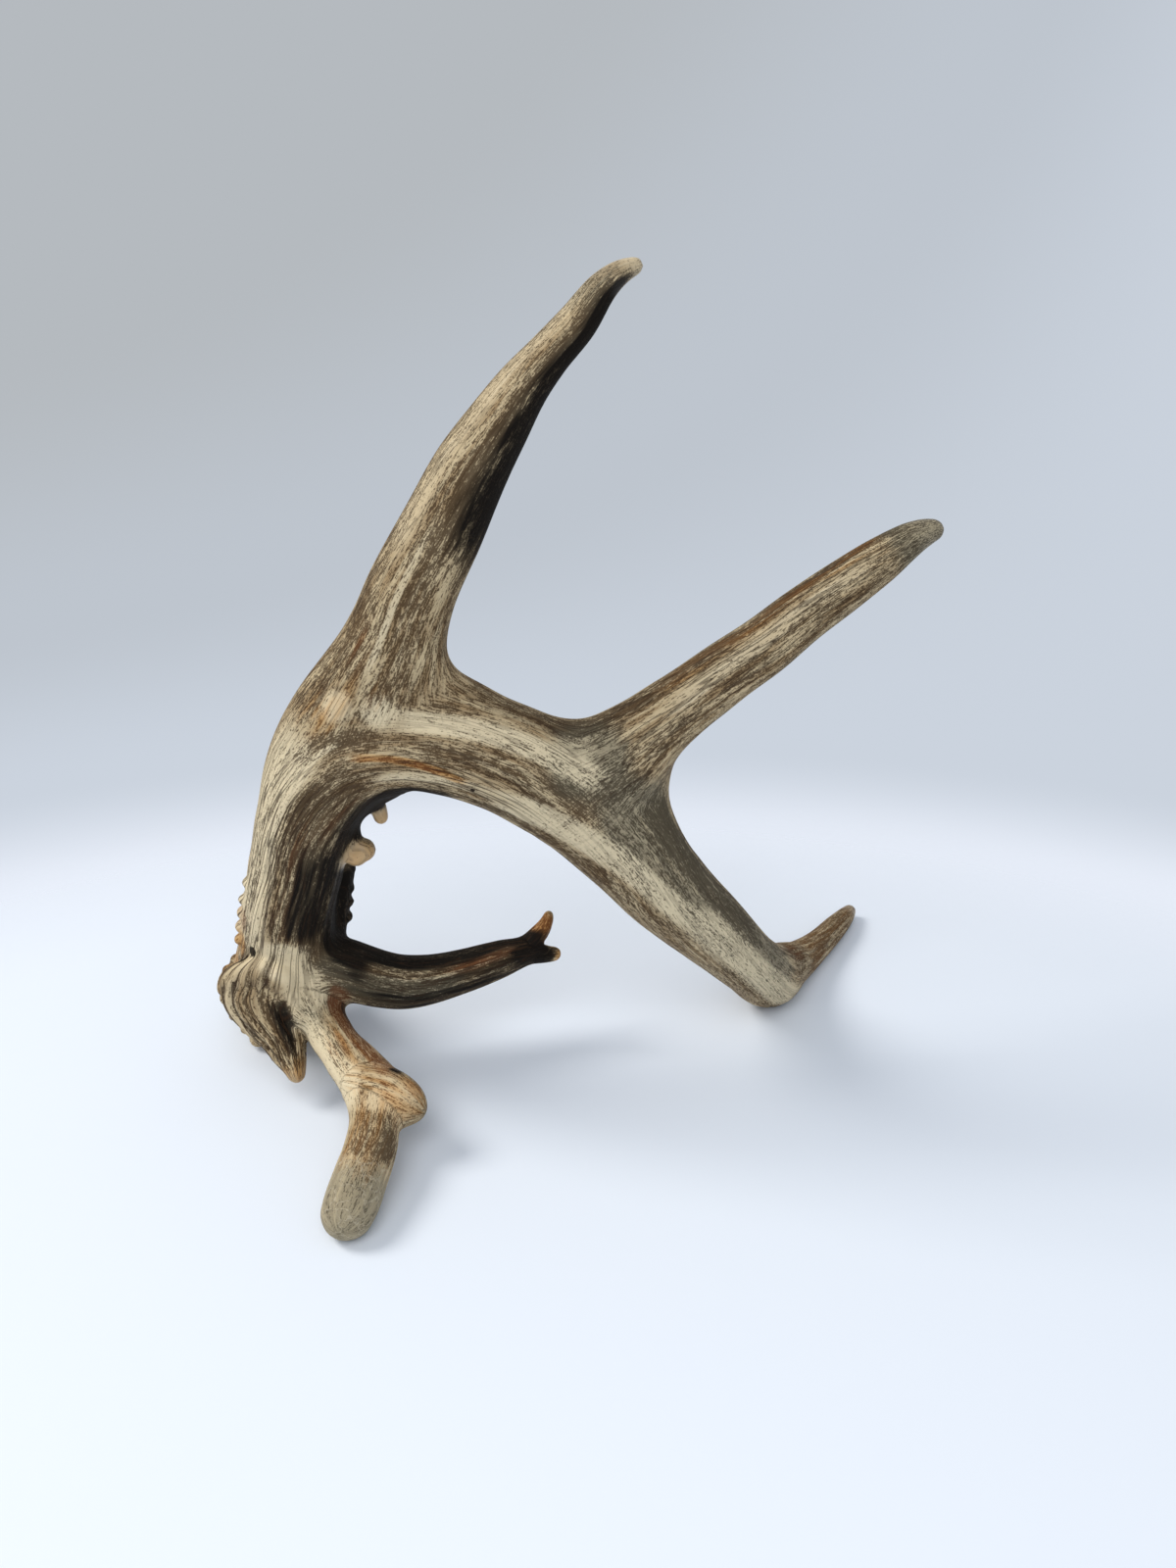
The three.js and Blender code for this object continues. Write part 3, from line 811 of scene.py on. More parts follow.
STAINS: tuple[Stripe | Spot, ...] = (
    # second tine: pale left side, brown speckled root, and a near-black right side that is mostly stain and
    # partly painted shade of the side turned from the lamp
    *stripes(
        SECOND_TINE,
        (DARK, 102, 214, -148, 40, 1.0, 32), (DARK, 100, 196, -110, 26, 0.35, 24),
        (BROWN, 78, 206, -100, 18, 0.7), (CREAM, 92, 214, -34, 26, 0.45), (BROWN, 20, 110, -8, 16, 0.4),
        (BROWN, 44, 82, -54, 20, 0.85, 10), (RUST, 48, 74, -58, 14, 0.35, 10),
        (BROWN, 38, 86, -120, 22, 0.5), (CREAM, 46, 112, -76, 5, 0.6), (GREY, 196, 222, -60, 60, 0.5),
        (BROWN, 188, 228, -122, 36, 1.0), (DARK, 196, 224, -134, 34, 0.7, 8),
        (CREAM, 222, 240, 0, ALL_ROUND, 0.5, 6), (BROWN, 40, 200, 100, 60, 0.4),
    ),
    # third tine: brown lines on top, a pale band, a speckled under side, a smooth grey tip
    *stripes(
        THIRD_TINE,
        (BROWN, 14, 160, -16, 18, 0.75), (OCHRE, 50, 156, -20, 22, 0.4), (CREAM, 50, 150, -66, 16, 0.5),
        (BROWN, 20, 160, -118, 26, 0.45), (GREY, 156, 190, -100, ALL_ROUND, 0.9, 8),
    ),
    # foot of the beam: pale ridged left side, rusty middle, near-black inside with one pale line; the
    # near-black on the inside, turned from the lamp, is partly stain and partly painted shade
    *stripes(
        BEAM,
        (CREAM, 64, 168, -46, 32, 0.85), (BROWN, 70, 160, -84, 12, 0.3, 16),
        (DARK, 72, 138, -138, 38, 0.85, 22), (DARK, 60, 200, 172, 26, 0.95),
        (RUST, 70, 150, -110, 22, 0.35, 14), (BROWN, 70, 180, -112, 26, 0.9),
        (BROWN, 20, 150, 90, 60, 0.5), (CREAM, 82, 122, -166, 2.5, 0.6, 6),
    ),
    # arch: pale bands with brown patches between, an orange streak on the inner side; the dark stripes
    # along its under side are painted shade
    *stripes(
        BEAM,
        (CREAM, 196, 266, -54, 12, 1.0), (BROWN, 162, 188, -54, 11, 1.0, 6, -0.6),
        (DARK, 166, 184, -56, 7, 0.35, 6, -0.6), (CREAM, 124, 176, -64, 3, 1.0, 6),
        (OCHRE, 178, 222, -82, 5, 0.8, 6, -0.7), (RUST, 178, 212, -83, 3.4, 0.8, 6, -0.7),
        (CREAM, 182, 236, -116, 8, 0.6), (BROWN, 138, 182, -92, 15, 0.8),
        (DARK, 142, 168, -88, 8, 0.3, 8), (RUST, 136, 180, -138, 14, 0.3),
        (DARK, 136, 222, -160, 24, 1.0, 10), (BROWN, 200, 278, -87, 14, 0.65),
        (CREAM, 236, 350, -122, 17, 0.85, 12, 0.36), (BROWN, 226, 345, -146, 10, 0.7, 12, 0.2),
        (DARK, 214, 300, -172, 12, 0.7), (BROWN, 200, 345, 90, 50, 0.35),
    ),
    *spots(
        (OCHRE, -93, -42, 182, 8, 0.3), (OCHRE, -84, -45, 187, 9, 0.4), (OCHRE, -70, -48, 195, 8, 0.25),
        (CREAM, -82, -46, 189, 7, 0.7), (CREAM, -66, -47, 188, 7, 0.7), (DARK, -31, -46, 155, 1.1, 0.9),
    ),
    # third fork and the beam's end: grey and densely speckled
    *stripes(
        BEAM,
        (BROWN, 222, 280, -8, 13, 0.6), (GREY, 296, 436, -50, 50, 0.8),
        (BROWN, 296, 392, -30, 26, 0.75), (CREAM, 345, 450, -76, 28, 0.85),
        (OCHRE, 462, 560, -90, ALL_ROUND, 0.4), (GREY, 462, 560, -90, ALL_ROUND, 0.4),
        (BROWN, 462, 560, -90, ALL_ROUND, 0.5),
    ),
    *spots(
        (CREAM, 8, -39, 170, 9, 0.5), (GREY, 14, -39, 164, 17, 0.9), (GREY, 34, -37, 138, 18, 0.9),
        (BROWN, 19, -41, 152, 14, 0.35), (BROWN, 36, -36, 132, 15, 0.35), (BROWN, 114, 46, 26, 10, 0.9),
        (RUST, 115, 48, 26, 8, 0.4),
    ),
    # knobs, inner ridge, pearls and burr; the three wide dark spots on the inside of the foot, among the
    # pearls, are painted shade
    *stripes(BEAM, (OCHRE, 0, 12, -90, ALL_ROUND, 0.45), (BROWN, 0, 16, -90, ALL_ROUND, 0.5)),
    *spots(
        (CLEAN, -82, -22, 113, 8, 1.0), (CLEAN, -72, -18, 130, 6, 1.0), (CREAM, -82, -22, 113, 8, 0.4),
        (OCHRE, -80, -22, 113, 8, 0.5), (CREAM, -72, -18, 130, 6, 0.4), (OCHRE, -71, -18, 129, 6, 0.5),
        (DARK, -92, 3, 86, 15, 1.0), (DARK, -96, 3, 70, 14, 1.0), (DARK, -91, -11, 65, 9, 1.0),
        (RUST, -136, -16, 84, 8, 0.7), (BROWN, -136, -15, 79, 13, 0.6), (OCHRE, -139, -13, 70, 8, 0.8),
        (OCHRE, -149, 0, 50, 13, 0.9), (RUST, -148, -3, 55, 6, 0.6), (CLEAN, -133, 28, 16, 17, 0.8),
        (CREAM, -133, 28, 16, 19, 0.7),
    ),
    # brow: smooth pale saddle above the kicker; the two small dark spots on its left are painted shade in a
    # crevice
    *spots(
        (CLEAN, -118, -31, 70, 9, 0.45), (CLEAN, -111, -29, 68, 10, 0.35),
        (CLEAN, -105, -30, 54, 8, 0.6), (CREAM, -118, -31, 69, 8, 1.0), (CREAM, -112, -29, 67, 9, 0.7),
        (CREAM, -106, -31, 54, 11, 0.8), (GREY, -98, -24, 54, 13, 0.7), (BROWN, -97, -22, 63, 10, 0.9),
        (DARK, -88, -15, 54, 7, 0.8), (DARK, -130, -25, 69.5, 2.6, 0.9),
        (DARK, -135, -23, 65, 2.8, 0.9),
    ),
    # kicker: ribbed, pale tip; the dark stripe on its right, with the brown one under it, is painted shade
    # of the crevice between kicker and brow
    *stripes(
        KICKER,
        (BROWN, 0, 46, -100, 60, 0.55), (CREAM, 0, 30, -134, 14, 0.5), (DARK, 9, 44, -58, 17, 0.75, 10),
        (BROWN, 2, 34, -60, 24, 0.7, 10), (OCHRE, 42, 64, -90, ALL_ROUND, 0.55, 5),
        (CREAM, 49, 64, -110, 50, 0.6, 5),
    ),
    # front brow tine: pale, with a rusty right edge, a tan knob and a smooth crackled end
    *stripes(
        FRONT_TINE,
        (CREAM, 14, 90, -118, 34, 0.8), (GREY, 8, 68, -100, 30, 0.6), (OCHRE, 44, 128, -66, 50, 0.42),
        (RUST, 20, 88, -20, 26, 0.9), (DARK, 28, 84, 10, 22, 0.4), (BROWN, 92, 126, -44, 34, 0.75),
        (GREY, 120, 160, -90, ALL_ROUND, 0.8, 8), (CRACKLE, 118, 160, -90, ALL_ROUND, 1.0, 6),
    ),
    *spots(
        (RUST, -91, -46, 38, 8, 0.35), (CREAM, -87, -62, 30, 9, 0.7), (CREAM, -72, -76, 31, 6, 0.6),
        (OCHRE, -60, -74, 29, 10, 0.55), (CREAM, -62, -75, 29, 8, 0.6), (DARK, -65, -62, 37, 4, 0.8),
        (RUST, -57, -70, 32, 5, 0.45), (RUST, -65, -80, 19, 6, 0.45), (BROWN, -66, -92, 21, 7, 0.9),
    ),
    # side brow tine: near-black on top, grey on its front, rusty towards the prongs
    *stripes(
        SIDE_TINE,
        (DARK, 12, 108, 0, 34, 1.0), (DARK, 24, 108, -112, 34, 0.7), (GREY, 22, 70, -78, 26, 1.0),
        (CREAM, 26, 96, -52, 4, 0.6), (CREAM, 20, 108, -84, 5, 0.5), (BROWN, 20, 112, -70, 60, 0.9),
        (RUST, 66, 112, -40, 20, 0.8), (DARK, 60, 108, -62, 16, 0.5),
    ),
    *spots(
        (DARK, -13, 8, 51, 8, 0.9), (DARK, -6, 10, 46, 5, 0.9), (RUST, -8, 11, 58, 9, 1.0),
        (OCHRE, -8, 13, 62, 6, 0.9), (OCHRE, 2, 14, 43, 4, 0.9),
    ),
    # grooves: deep on the foot of the beam, the kicker and the side brow tine, fine elsewhere
    *stripes(
        BEAM,
        (GROOVE, 16, 160, -30, 90, 1.0, 14), (GROOVE, 16, 560, -90, ALL_ROUND, 0.35),
        (GROOVE, 140, 250, -130, 40, 0.8), (POLISH, 536, 560, 0, ALL_ROUND, 0.8, 8),
    ),
    *stripes(KICKER, (GROOVE, 0, 50, -90, ALL_ROUND, 1.0, 5), (POLISH, 46, 64, 0, ALL_ROUND, 0.8, 5)),
    *stripes(SIDE_TINE, (GROOVE, 24, 108, -60, 90, 0.8)),
    *stripes(THIRD_TINE, (GROOVE, 10, 166, -40, 90, 0.75), (POLISH, 168, 190, 0, ALL_ROUND, 1.0, 8)),
    *stripes(SECOND_TINE, (GROOVE, 20, 215, 0, 60, 0.55), (POLISH, 214, 240, 0, ALL_ROUND, 1.0, 8)),
    *spots((POLISH, -82, -22, 113, 8, 0.8), (POLISH, -72, -18, 130, 6, 0.8)),
)


WASHED_OFF = (DARK, BROWN, RUST, GREY)


def stain_amounts(grain: Grain, points: Array) -> dict[Stain, Array]:
    """Each stain's amount from 0 to 1 at each point: the marks of one stain pile up, never past 1.

    Args:
        grain: the points' places on the limbs.
        points: one row of x, y and z in mm for each point.

    Returns:
        For each stain, one value for each point.
    """
    bare = {stain: np.ones(len(points)) for stain in Stain}
    for mark in STAINS:
        bare[mark.stain] *= 1 - np.clip(mark.amount(grain, points), 0, 1)
    unwashed = bare.pop(CLEAN)
    amounts = {stain: 1 - left for stain, left in bare.items()}
    for stain in WASHED_OFF:
        amounts[stain] *= unwashed
    return amounts


# ---- The antler ----


@dataclass(frozen=True)
class Division:
    """A piece of the antler: its node, the limb and share of its length where it begins, its branches."""

    node: str
    limb: Limb
    share: float
    branches: tuple[Limb, ...] = ()


DIVISIONS = (
    Division("beam_base", BEAM, 0.0),
    Division("beam_arch", BEAM, 0.232),
    Division("beam_end", BEAM, 0.62),
    Division("second_tine", SECOND_TINE, 0.3),
    Division("third_tine", THIRD_TINE, 0.235),
    Division("front_brow_tine", FRONT_TINE, 0.25, (FRONT_KNOB,)),
    Division("side_brow_tine", SIDE_TINE, 0.25, (UPPER_PRONG, LOWER_PRONG)),
    Division("kicker_tine", KICKER, 0.74),
)
BEAM_PIECES = sum(division.limb is BEAM for division in DIVISIONS)
TINE_GAP = 6.0  # mm from a tine's wall within which a face is still the tine's


@dataclass
class Antler:
    """The whole antler: builds its skin, then its pieces.

    Heights, margins and fades are mm; a fade is the place where something is gone and where it is full,
    and a sway is by how many radians, and over how many mm, a wave leans to and fro.
    """

    fork_reach: float = 6.5
    fork_rounds: int = 110
    full_fork_radius: float = 10.0
    thin_fade: Pair = (3.5, 9.0)
    pearl_margin: Pair = (0.3, 3.0)
    least_reach: float = 0.25
    thin_weight: float = 0.04
    smooth_rounds: int = 5
    smooth_share: float = 0.5
    settle_share: float = 0.35
    coarse_cell: Triple = (4.4, 4.4, 34.0)
    fine_cell: Triple = (2.1, 2.1, 15.0)
    fine_share: float = 0.6
    beam_ridge: float = 0.7
    arch_ridge: float = 0.24
    arch_fade: Pair = (175.0, 70.0)
    tip_fade: Pair = (548.0, 470.0)
    tine_ridge: float = 0.1
    side_ridge: float = 0.2
    flutes: int = 5
    flute_height: float = 0.2
    flute_sway: Pair = (0.7, 27.0)
    flute_fade: Pair = (0.88, 0.6)
    ribs: int = 7
    rib_height: float = 0.6
    rib_sway: Pair = (0.4, 9.0)
    rib_fade: Pair = (52.0, 34.0)
    pit_height: float = 0.7
    pit_cells: Pair = (2.6, 1.3)
    pit_share: float = 0.5
    seat_fade: Pair = (2.5, 0.6)

    def pearls(self) -> Array:
        """Centre and radius of every pearl, in the part's frame.

        Returns:
            One row of x, y, z and radius in mm for each pearl.
        """
        spots = np.vstack([np.array(PEARLS, float), Burr().pearls()])
        spots[:, :3] += ORIGIN_SHIFT
        return spots

    def fork_weight(self, points: Array) -> Array:
        """How much each point is relaxed: most where the second-nearest limb's wall is also near.

        Args:
            points: one row of x, y and z in mm for each point.

        Returns:
            One value for each point, from 0 where it stays to 1 where it moves all the way.
        """
        limbs = (BEAM, *TINES, *WEBS)
        places = [limb.place(points) for limb in limbs]
        gap = np.stack([(place.reach - 1) * place.radius for place in places])
        radius = np.stack([place.radius for place in places])
        nearest, second = np.argsort(gap, axis=0)[:2]
        rows = np.arange(len(points))
        thinner = np.minimum(radius[nearest, rows], radius[second, rows])
        reach = self.fork_reach * np.clip(thinner / self.full_fork_radius, self.least_reach, 1.0)
        weight = np.exp(-((np.maximum(gap[second, rows], 0) / reach) ** 2))
        weight *= self.thin_weight + (1 - self.thin_weight) * smoothstep(thinner, *self.thin_fade)
        softness = np.array([limb.softness for limb in limbs])
        weight *= np.minimum(softness[nearest], softness[second])
        for x, y, z, size in self.pearls():
            away = np.linalg.norm(points - (x, y, z), axis=1) - size
            weight *= smoothstep(away, *self.pearl_margin)
        return weight

    def relief(self, grain: Grain, points: Array) -> Array:
        """Height of the surface over the plain limbs, in mm, from each limb's own grain.

        Ridges are noise stretched along the grain; flutes and ribs are waves round the limb.

        Args:
            grain: the points' places on the limbs.
            points: one row of x, y and z in mm for each point.

        Returns:
            One height in mm for each point, negative in a flute.
        """
        beam_ridges, tine_ridges = (
            (2 * lattice_noise(flow / self.coarse_cell, 1) - 1)
            + self.fine_share * (2 * lattice_noise(flow / self.fine_cell, 2) - 1)
            for flow in flows(grain)
        )
        along = grain.beam.along
        rise = self.beam_ridge - self.arch_ridge
        strength = self.arch_ridge + rise * smoothstep(along, *self.arch_fade)
        beam_height = strength * smoothstep(along, *self.tip_fade) * beam_ridges
        tine_height = self.tine_ridge * tine_ridges
        for tine in (SECOND_TINE, THIRD_TINE, FRONT_TINE, SIDE_TINE):
            place = grain.on(tine)
            gone, full = self.flute_fade
            fade = smoothstep(place.along, gone * tine.length, full * tine.length)
            lean, length = self.flute_sway
            wave = np.sin(self.flutes * place.angle + lean * np.sin(place.along / length))
            tine_height += grain.lies_on(tine) * self.flute_height * fade * wave
        tine_height += grain.lies_on(SIDE_TINE) * self.side_ridge * tine_ridges
        kicker = grain.on(KICKER)
        lean, length = self.rib_sway
        ribs = 2 * np.abs(np.sin(self.ribs * kicker.angle + lean * np.sin(kicker.along / length))) - 1
        ribs *= self.rib_height * smoothstep(kicker.along, *self.rib_fade)
        tine_height += grain.lies_on(KICKER) * ribs
        height = (1 - grain.mix) * beam_height + grain.mix * tine_height
        seat = smoothstep(along, *self.seat_fade)
        wide, narrow = (lattice_noise(points / cell, seed) for cell, seed in zip(self.pit_cells, (5, 6)))
        pits = wide + self.pit_share * narrow - (1 + self.pit_share) / 2
        return (1 - seat) * height + seat * self.pit_height * pits

    def skin(self) -> tuple[Skin, Grain]:
        """Builds the skin: voxel union, relaxed forks, raised ridges, flat where it stands.

        Returns:
            The finished skin, and the grain at its points.
        """
        shells = [limb.tube() for limb in (BEAM, *TINES, *WEBS)]
        shells += [ball(spot[:3], spot[3]) for spot in self.pearls()]
        skin = Skin.around(shells)
        LOG.info("skin: %d points", len(skin.points))
        skin.relax(self.smooth_rounds, self.smooth_share)
        skin.relax(self.fork_rounds, self.fork_weight(skin.points))
        grain = Grain.of(skin.points)
        skin.points += skin.normals() * self.relief(grain, skin.points)[:, None]
        skin.relax(1, self.settle_share)
        skin.points[:, 2] = np.maximum(skin.points[:, 2], 0)
        return skin, Grain.of(skin.points)

    def labels(self, skin: Skin, grain: Grain) -> Array:
        """Which division each face belongs to.

        Args:
            skin: the whole skin.
            grain: its points' places on the limbs.

        Returns:
            The number of a division for each face.
        """
        gaps = []
        for division in DIVISIONS:
            family = [grain.on(limb) for limb in (division.limb, *division.branches)]
            gap = np.min([(place.reach - 1) * place.radius for place in family], axis=0)
            gaps.append(np.full(len(gap), TINE_GAP) if division.limb is BEAM else gap)
        nearest = np.array([gap[skin.quads].mean(axis=1) for gap in gaps]).argmin(axis=0)
        label = np.zeros(len(skin.quads), int)
        for number, division in enumerate(DIVISIONS):
            along = grain.on(division.limb).along[skin.quads].mean(axis=1)
            inside = along > division.share * division.limb.length
            if division.limb is not BEAM:
                inside &= nearest == number
            label = np.where(inside, number, label)
        return label


@dataclass
class Piece:
    """One piece of the skin: its faces, closed where it was divided from its neighbours."""

    division: Division
    faces: Array
    neighbours: Array

    def build(
        self, skin: Skin, normals: Array, values: dict[str, Array], material: bpy.types.Material
    ) -> bpy.types.Object:
        """Makes the piece's object, rides it on the body and lets it stand for its node.

        Args:
            skin: the whole skin, already flat at its divisions.
            normals: the whole skin's directions, so that no join shows between two pieces.
            values: attributes for each point of the skin.
            material: the finish.

        Returns:
            The finished object.
        """
        used = np.unique(self.faces)
        renumber = np.zeros(len(skin.points), np.int64)
        renumber[used] = np.arange(len(used))
        quads = renumber[self.faces]
        points, directions = skin.points[used], normals[used]
        columns = {name: value[used] for name, value in values.items()}
        caps = []
        for neighbour, edges in self.open_edges(quads):
            rim = np.unique(edges)
            middle = len(points)
            points = np.vstack([points, points[rim].mean(axis=0)])
            out = np.cross(points[edges[:, 1]] - points[middle], points[edges[:, 0]] - points[middle])
            directions = np.vstack([directions, unit(out.sum(axis=0))])
            columns = {
                name: np.concatenate([value, value[rim].mean(axis=0, keepdims=True)])
                for name, value in columns.items()
            }
            caps.append(np.column_stack([edges[:, 1], edges[:, 0], np.full(len(edges), middle)]))
            LOG.info("%s meets piece %d along %d edges", self.division.node, neighbour, len(edges))
        mesh = mesh_from(self.division.node + "_skin", points * MM, quads, *caps)
        for name, value in columns.items():
            kind, key = ("FLOAT_VECTOR", "vector") if value.ndim == 2 else ("FLOAT", "value")
            attribute = mesh.attributes.new(name, kind, "POINT")
            attribute.data.foreach_set(key, value.astype(np.float32).ravel())
        mesh.polygons.foreach_set("use_smooth", np.ones(len(mesh.polygons), bool))
        mesh.normals_split_custom_set_from_vertices(directions)
        mesh.materials.append(material)
        piece = placed(self.division.node + "_skin", mesh)
        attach(piece, BODY)
        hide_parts(self.division.node)
        return piece

    def open_edges(self, quads: Array) -> list[tuple[int, Array]]:
        """The piece's open edges, in face order, grouped by the piece across them.

        Args:
            quads: the piece's faces, by the numbers of its own points.

        Returns:
            For each piece across, its number and the edges, one row of two point numbers each.
        """
        leave = quads.ravel()
        arrive = np.roll(quads, -1, axis=1).ravel()
        across = self.neighbours.ravel()
        groups = []
        for neighbour in np.unique(across[across >= 0]):
            chosen = across == neighbour
            groups.append((int(neighbour), np.column_stack([leave[chosen], arrive[chosen]])))
        return groups


def face_neighbours(skin: Skin, label: Array) -> Array:
    """For each face's four edges, the label across it, or -1 where it is the face's own.

    Args:
        skin: the whole skin.
        label: the division of each face.

    Returns:
        One row of four labels for each face.
    """
    size = np.int64(len(skin.points))
    forward = skin.leave * size + skin.arrive
    backward = skin.arrive * size + skin.leave
    order = np.argsort(forward)
    twin = order[np.searchsorted(forward[order], backward)]
    owner = np.repeat(label, 4)
    across = owner[twin]
    return np.where(across == owner, -1, across).reshape(-1, 4)


def flatten_divisions(skin: Skin, label: Array, across: Array) -> None:
    """Moves the points where two pieces meet onto the plane of that division.

    Args:
        skin: the skin whose points are moved.
        label: the division of each face.
        across: the label across each edge of each face.
    """
    owner = np.repeat(label, 4)
    other = across.ravel()
    for number, division in enumerate(DIVISIONS[1:], start=1):
        beside = (other >= 0) & (other < BEAM_PIECES) if number >= BEAM_PIECES else other == number - 1
        near = (owner == number) & beside
        edge = np.unique(np.concatenate([skin.leave[near], skin.arrive[near]]))
        point, tangent = division.limb.at(division.share)
        off = (skin.points[edge] - point) @ tangent
        skin.points[edge] -= off[:, None] * tangent


# ---- Materials ----


def linear(red: int, green: int, blue: int) -> Colour:
    """A display colour from 0 to 255 as linear light, by the sRGB curve.

    Args:
        red: its red.
        green: its green.
        blue: its blue.

    Returns:
        Red, green and blue as linear light, and full opacity.
    """
    share = [value / 255 for value in (red, green, blue)]
    light = [s / 12.92 if s <= 0.04045 else ((s + 0.055) / 1.055) ** 2.4 for s in share]
    return (*light, 1.0)


@dataclass
class Wiring:
    """Adds nodes to a tree and links them; a value is a number, a colour or another node's socket."""

    tree: bpy.types.NodeTree

    @classmethod
    def of(cls, owner: bpy.types.Material | bpy.types.World) -> "Wiring":
        """The emptied tree of a material or a world.

        Args:
            owner: the material or the world.

        Returns:
            The wiring of its tree.
        """
        owner.use_nodes = True
        owner.node_tree.nodes.clear()
        return cls(owner.node_tree)

    @classmethod
    def group(cls, name: str, entry: str, results: list[str]) -> tuple["Wiring", Socket, bpy.types.Node]:
        """A new node group that takes one vector and gives numbers.

        Args:
            name: the group's name.
            entry: the vector's name.
            results: the numbers' names.

        Returns:
            The group's wiring, the vector, and the node that takes the results.
        """
        made = bpy.data.node_groups.new(name, "ShaderNodeTree")
        made.interface.new_socket(entry, in_out="INPUT", socket_type="NodeSocketVector")
        for result in results:
            made.interface.new_socket(result, in_out="OUTPUT", socket_type="NodeSocketFloat")
        wire = cls(made)
        return wire, wire.node("NodeGroupInput").outputs[entry], wire.node("NodeGroupOutput")

    def node(
        self, kind: str, inputs: dict[str | int, object] | None = None, **settings: object
    ) -> bpy.types.Node:
        """A new node with these settings, its inputs linked or set.

        Args:
            kind: the node's type.
            inputs: what each input takes: a socket, a node or a plain value.
            settings: the node's own properties, by name.

        Returns:
            The new node.
        """
        made = self.tree.nodes.new(kind)
        for name, value in settings.items():
            setattr(made, name, value)
        for name, value in (inputs or {}).items():
            self.feed(made.inputs[name], value)
        return made

    def feed(self, socket: Socket, value: object) -> None:
        """Links a socket, or sets its number or colour."""
        if isinstance(value, Socket):
            self.tree.links.new(value, socket)
        else:
            socket.default_value = value

    def math(self, operation: str, *values: object, clamp: bool = False) -> Socket:
        """Math node on one to three values."""
        inputs = dict(enumerate(values))
        return self.node("ShaderNodeMath", inputs, operation=operation, use_clamp=clamp).outputs[0]

    def vector(self, operation: str, inputs: dict[str | int, object]) -> bpy.types.Node:
        """Vector math node."""
        return self.node("ShaderNodeVectorMath", inputs, operation=operation)

    def total(self, *terms: tuple[object, float], start: float = 0.0) -> Socket:
        """start plus each value times its factor, held between 0 and 1.

        Args:
            terms: a value and its factor, for each term.
            start: what the terms are added to.

        Returns:
            The sum's socket.
        """
        running: object = start
        for value, factor in terms:
            running = self.math("MULTIPLY_ADD", value, factor, running)
        return self.math("ADD", running, 0.0, clamp=True)

    def ramp(self, value: object, low: object, high: object) -> Socket:
        """0 below low, 1 above high, smooth in between."""
        inputs = {"Value": value, "From Min": low, "From Max": high}
        return self.node("ShaderNodeMapRange", inputs, interpolation_type="SMOOTHSTEP").outputs["Result"]

    def blend(self, share: object, a: object, b: object) -> Socket:
        """A number between a and b."""
        return self.node("ShaderNodeMix", {0: share, 2: a, 3: b}, data_type="FLOAT").outputs[0]

    def tint(self, share: object, a: object, b: object) -> Socket:
        """A colour between a and b."""
        return self.node("ShaderNodeMix", {0: share, 6: a, 7: b}, data_type="RGBA").outputs[2]

    def noise(self, vector: Socket, cell: Triple, detail: float) -> Socket:
        """Noise whose cells have this size along each axis, in the vector's own unit.

        Args:
            vector: where the noise is read.
            cell: the size of its cells along each axis.
            detail: how many finer layers it has.

        Returns:
            The noise, from 0 to 1.
        """
        stretched = self.vector("DIVIDE", {0: vector, 1: cell}).outputs[0]
        inputs = {"Vector": stretched, "Scale": 1.0, "Detail": detail}
        return self.node("ShaderNodeTexNoise", inputs).outputs["Fac"]

    def object_place(self) -> Socket:
        """Object coordinates."""
        return self.node("ShaderNodeTexCoord").outputs["Object"]

    def value_of(self, name: str, output: str = "Fac") -> Socket:
        """A number, or with output Vector a vector, that the mesh holds for each point."""
        return self.node("ShaderNodeAttribute", attribute_name=name).outputs[output]

    def finish(self, kind: str, shader: bpy.types.Node) -> None:
        """Puts the shader out."""
        self.node(kind, {"Surface": shader.outputs[0]})


class Mark(Enum):
    """What the grain group puts out."""

    DASH = "Dash"
    LINE = "Line"
    STREAK = "Streak"
    MOTTLE = "Mottle"


@dataclass(frozen=True)
class GrainMarks:
    """Marks that follow the grain of one limb, from its straightened coordinates in mm.

    Dash is short fine noise, Line the level lines of long noise, Streak long noise, and Mottle broad.
    Each noise has its cell's size round the limb and along it, and its detail.
    """

    dash: Triple = (0.42, 3.0, 2.0)
    line: Triple = (1.9, 46.0, 1.0)
    streak: Triple = (2.4, 26.0, 3.0)
    mottle: Triple = (7.0, 24.0, 2.0)
    line_edge: Pair = (0.06, 0.012)

    def group(self) -> bpy.types.NodeTree:
        """Makes the node group.

        Returns:
            The group's tree.
        """
        wire, flow, out = Wiring.group("bone grain", "Flow", [mark.value for mark in Mark])
        dash, line, streak, mottle = (
            wire.noise(flow, (width, width, length), detail)
            for width, length, detail in (self.dash, self.line, self.streak, self.mottle)
        )
        level = wire.math("ABSOLUTE", wire.math("SUBTRACT", line, 0.5))
        lines = wire.ramp(level, *self.line_edge)
        for mark, value in zip(Mark, (dash, lines, streak, mottle)):
            wire.feed(out.inputs[mark.value], value)
        return wire.tree


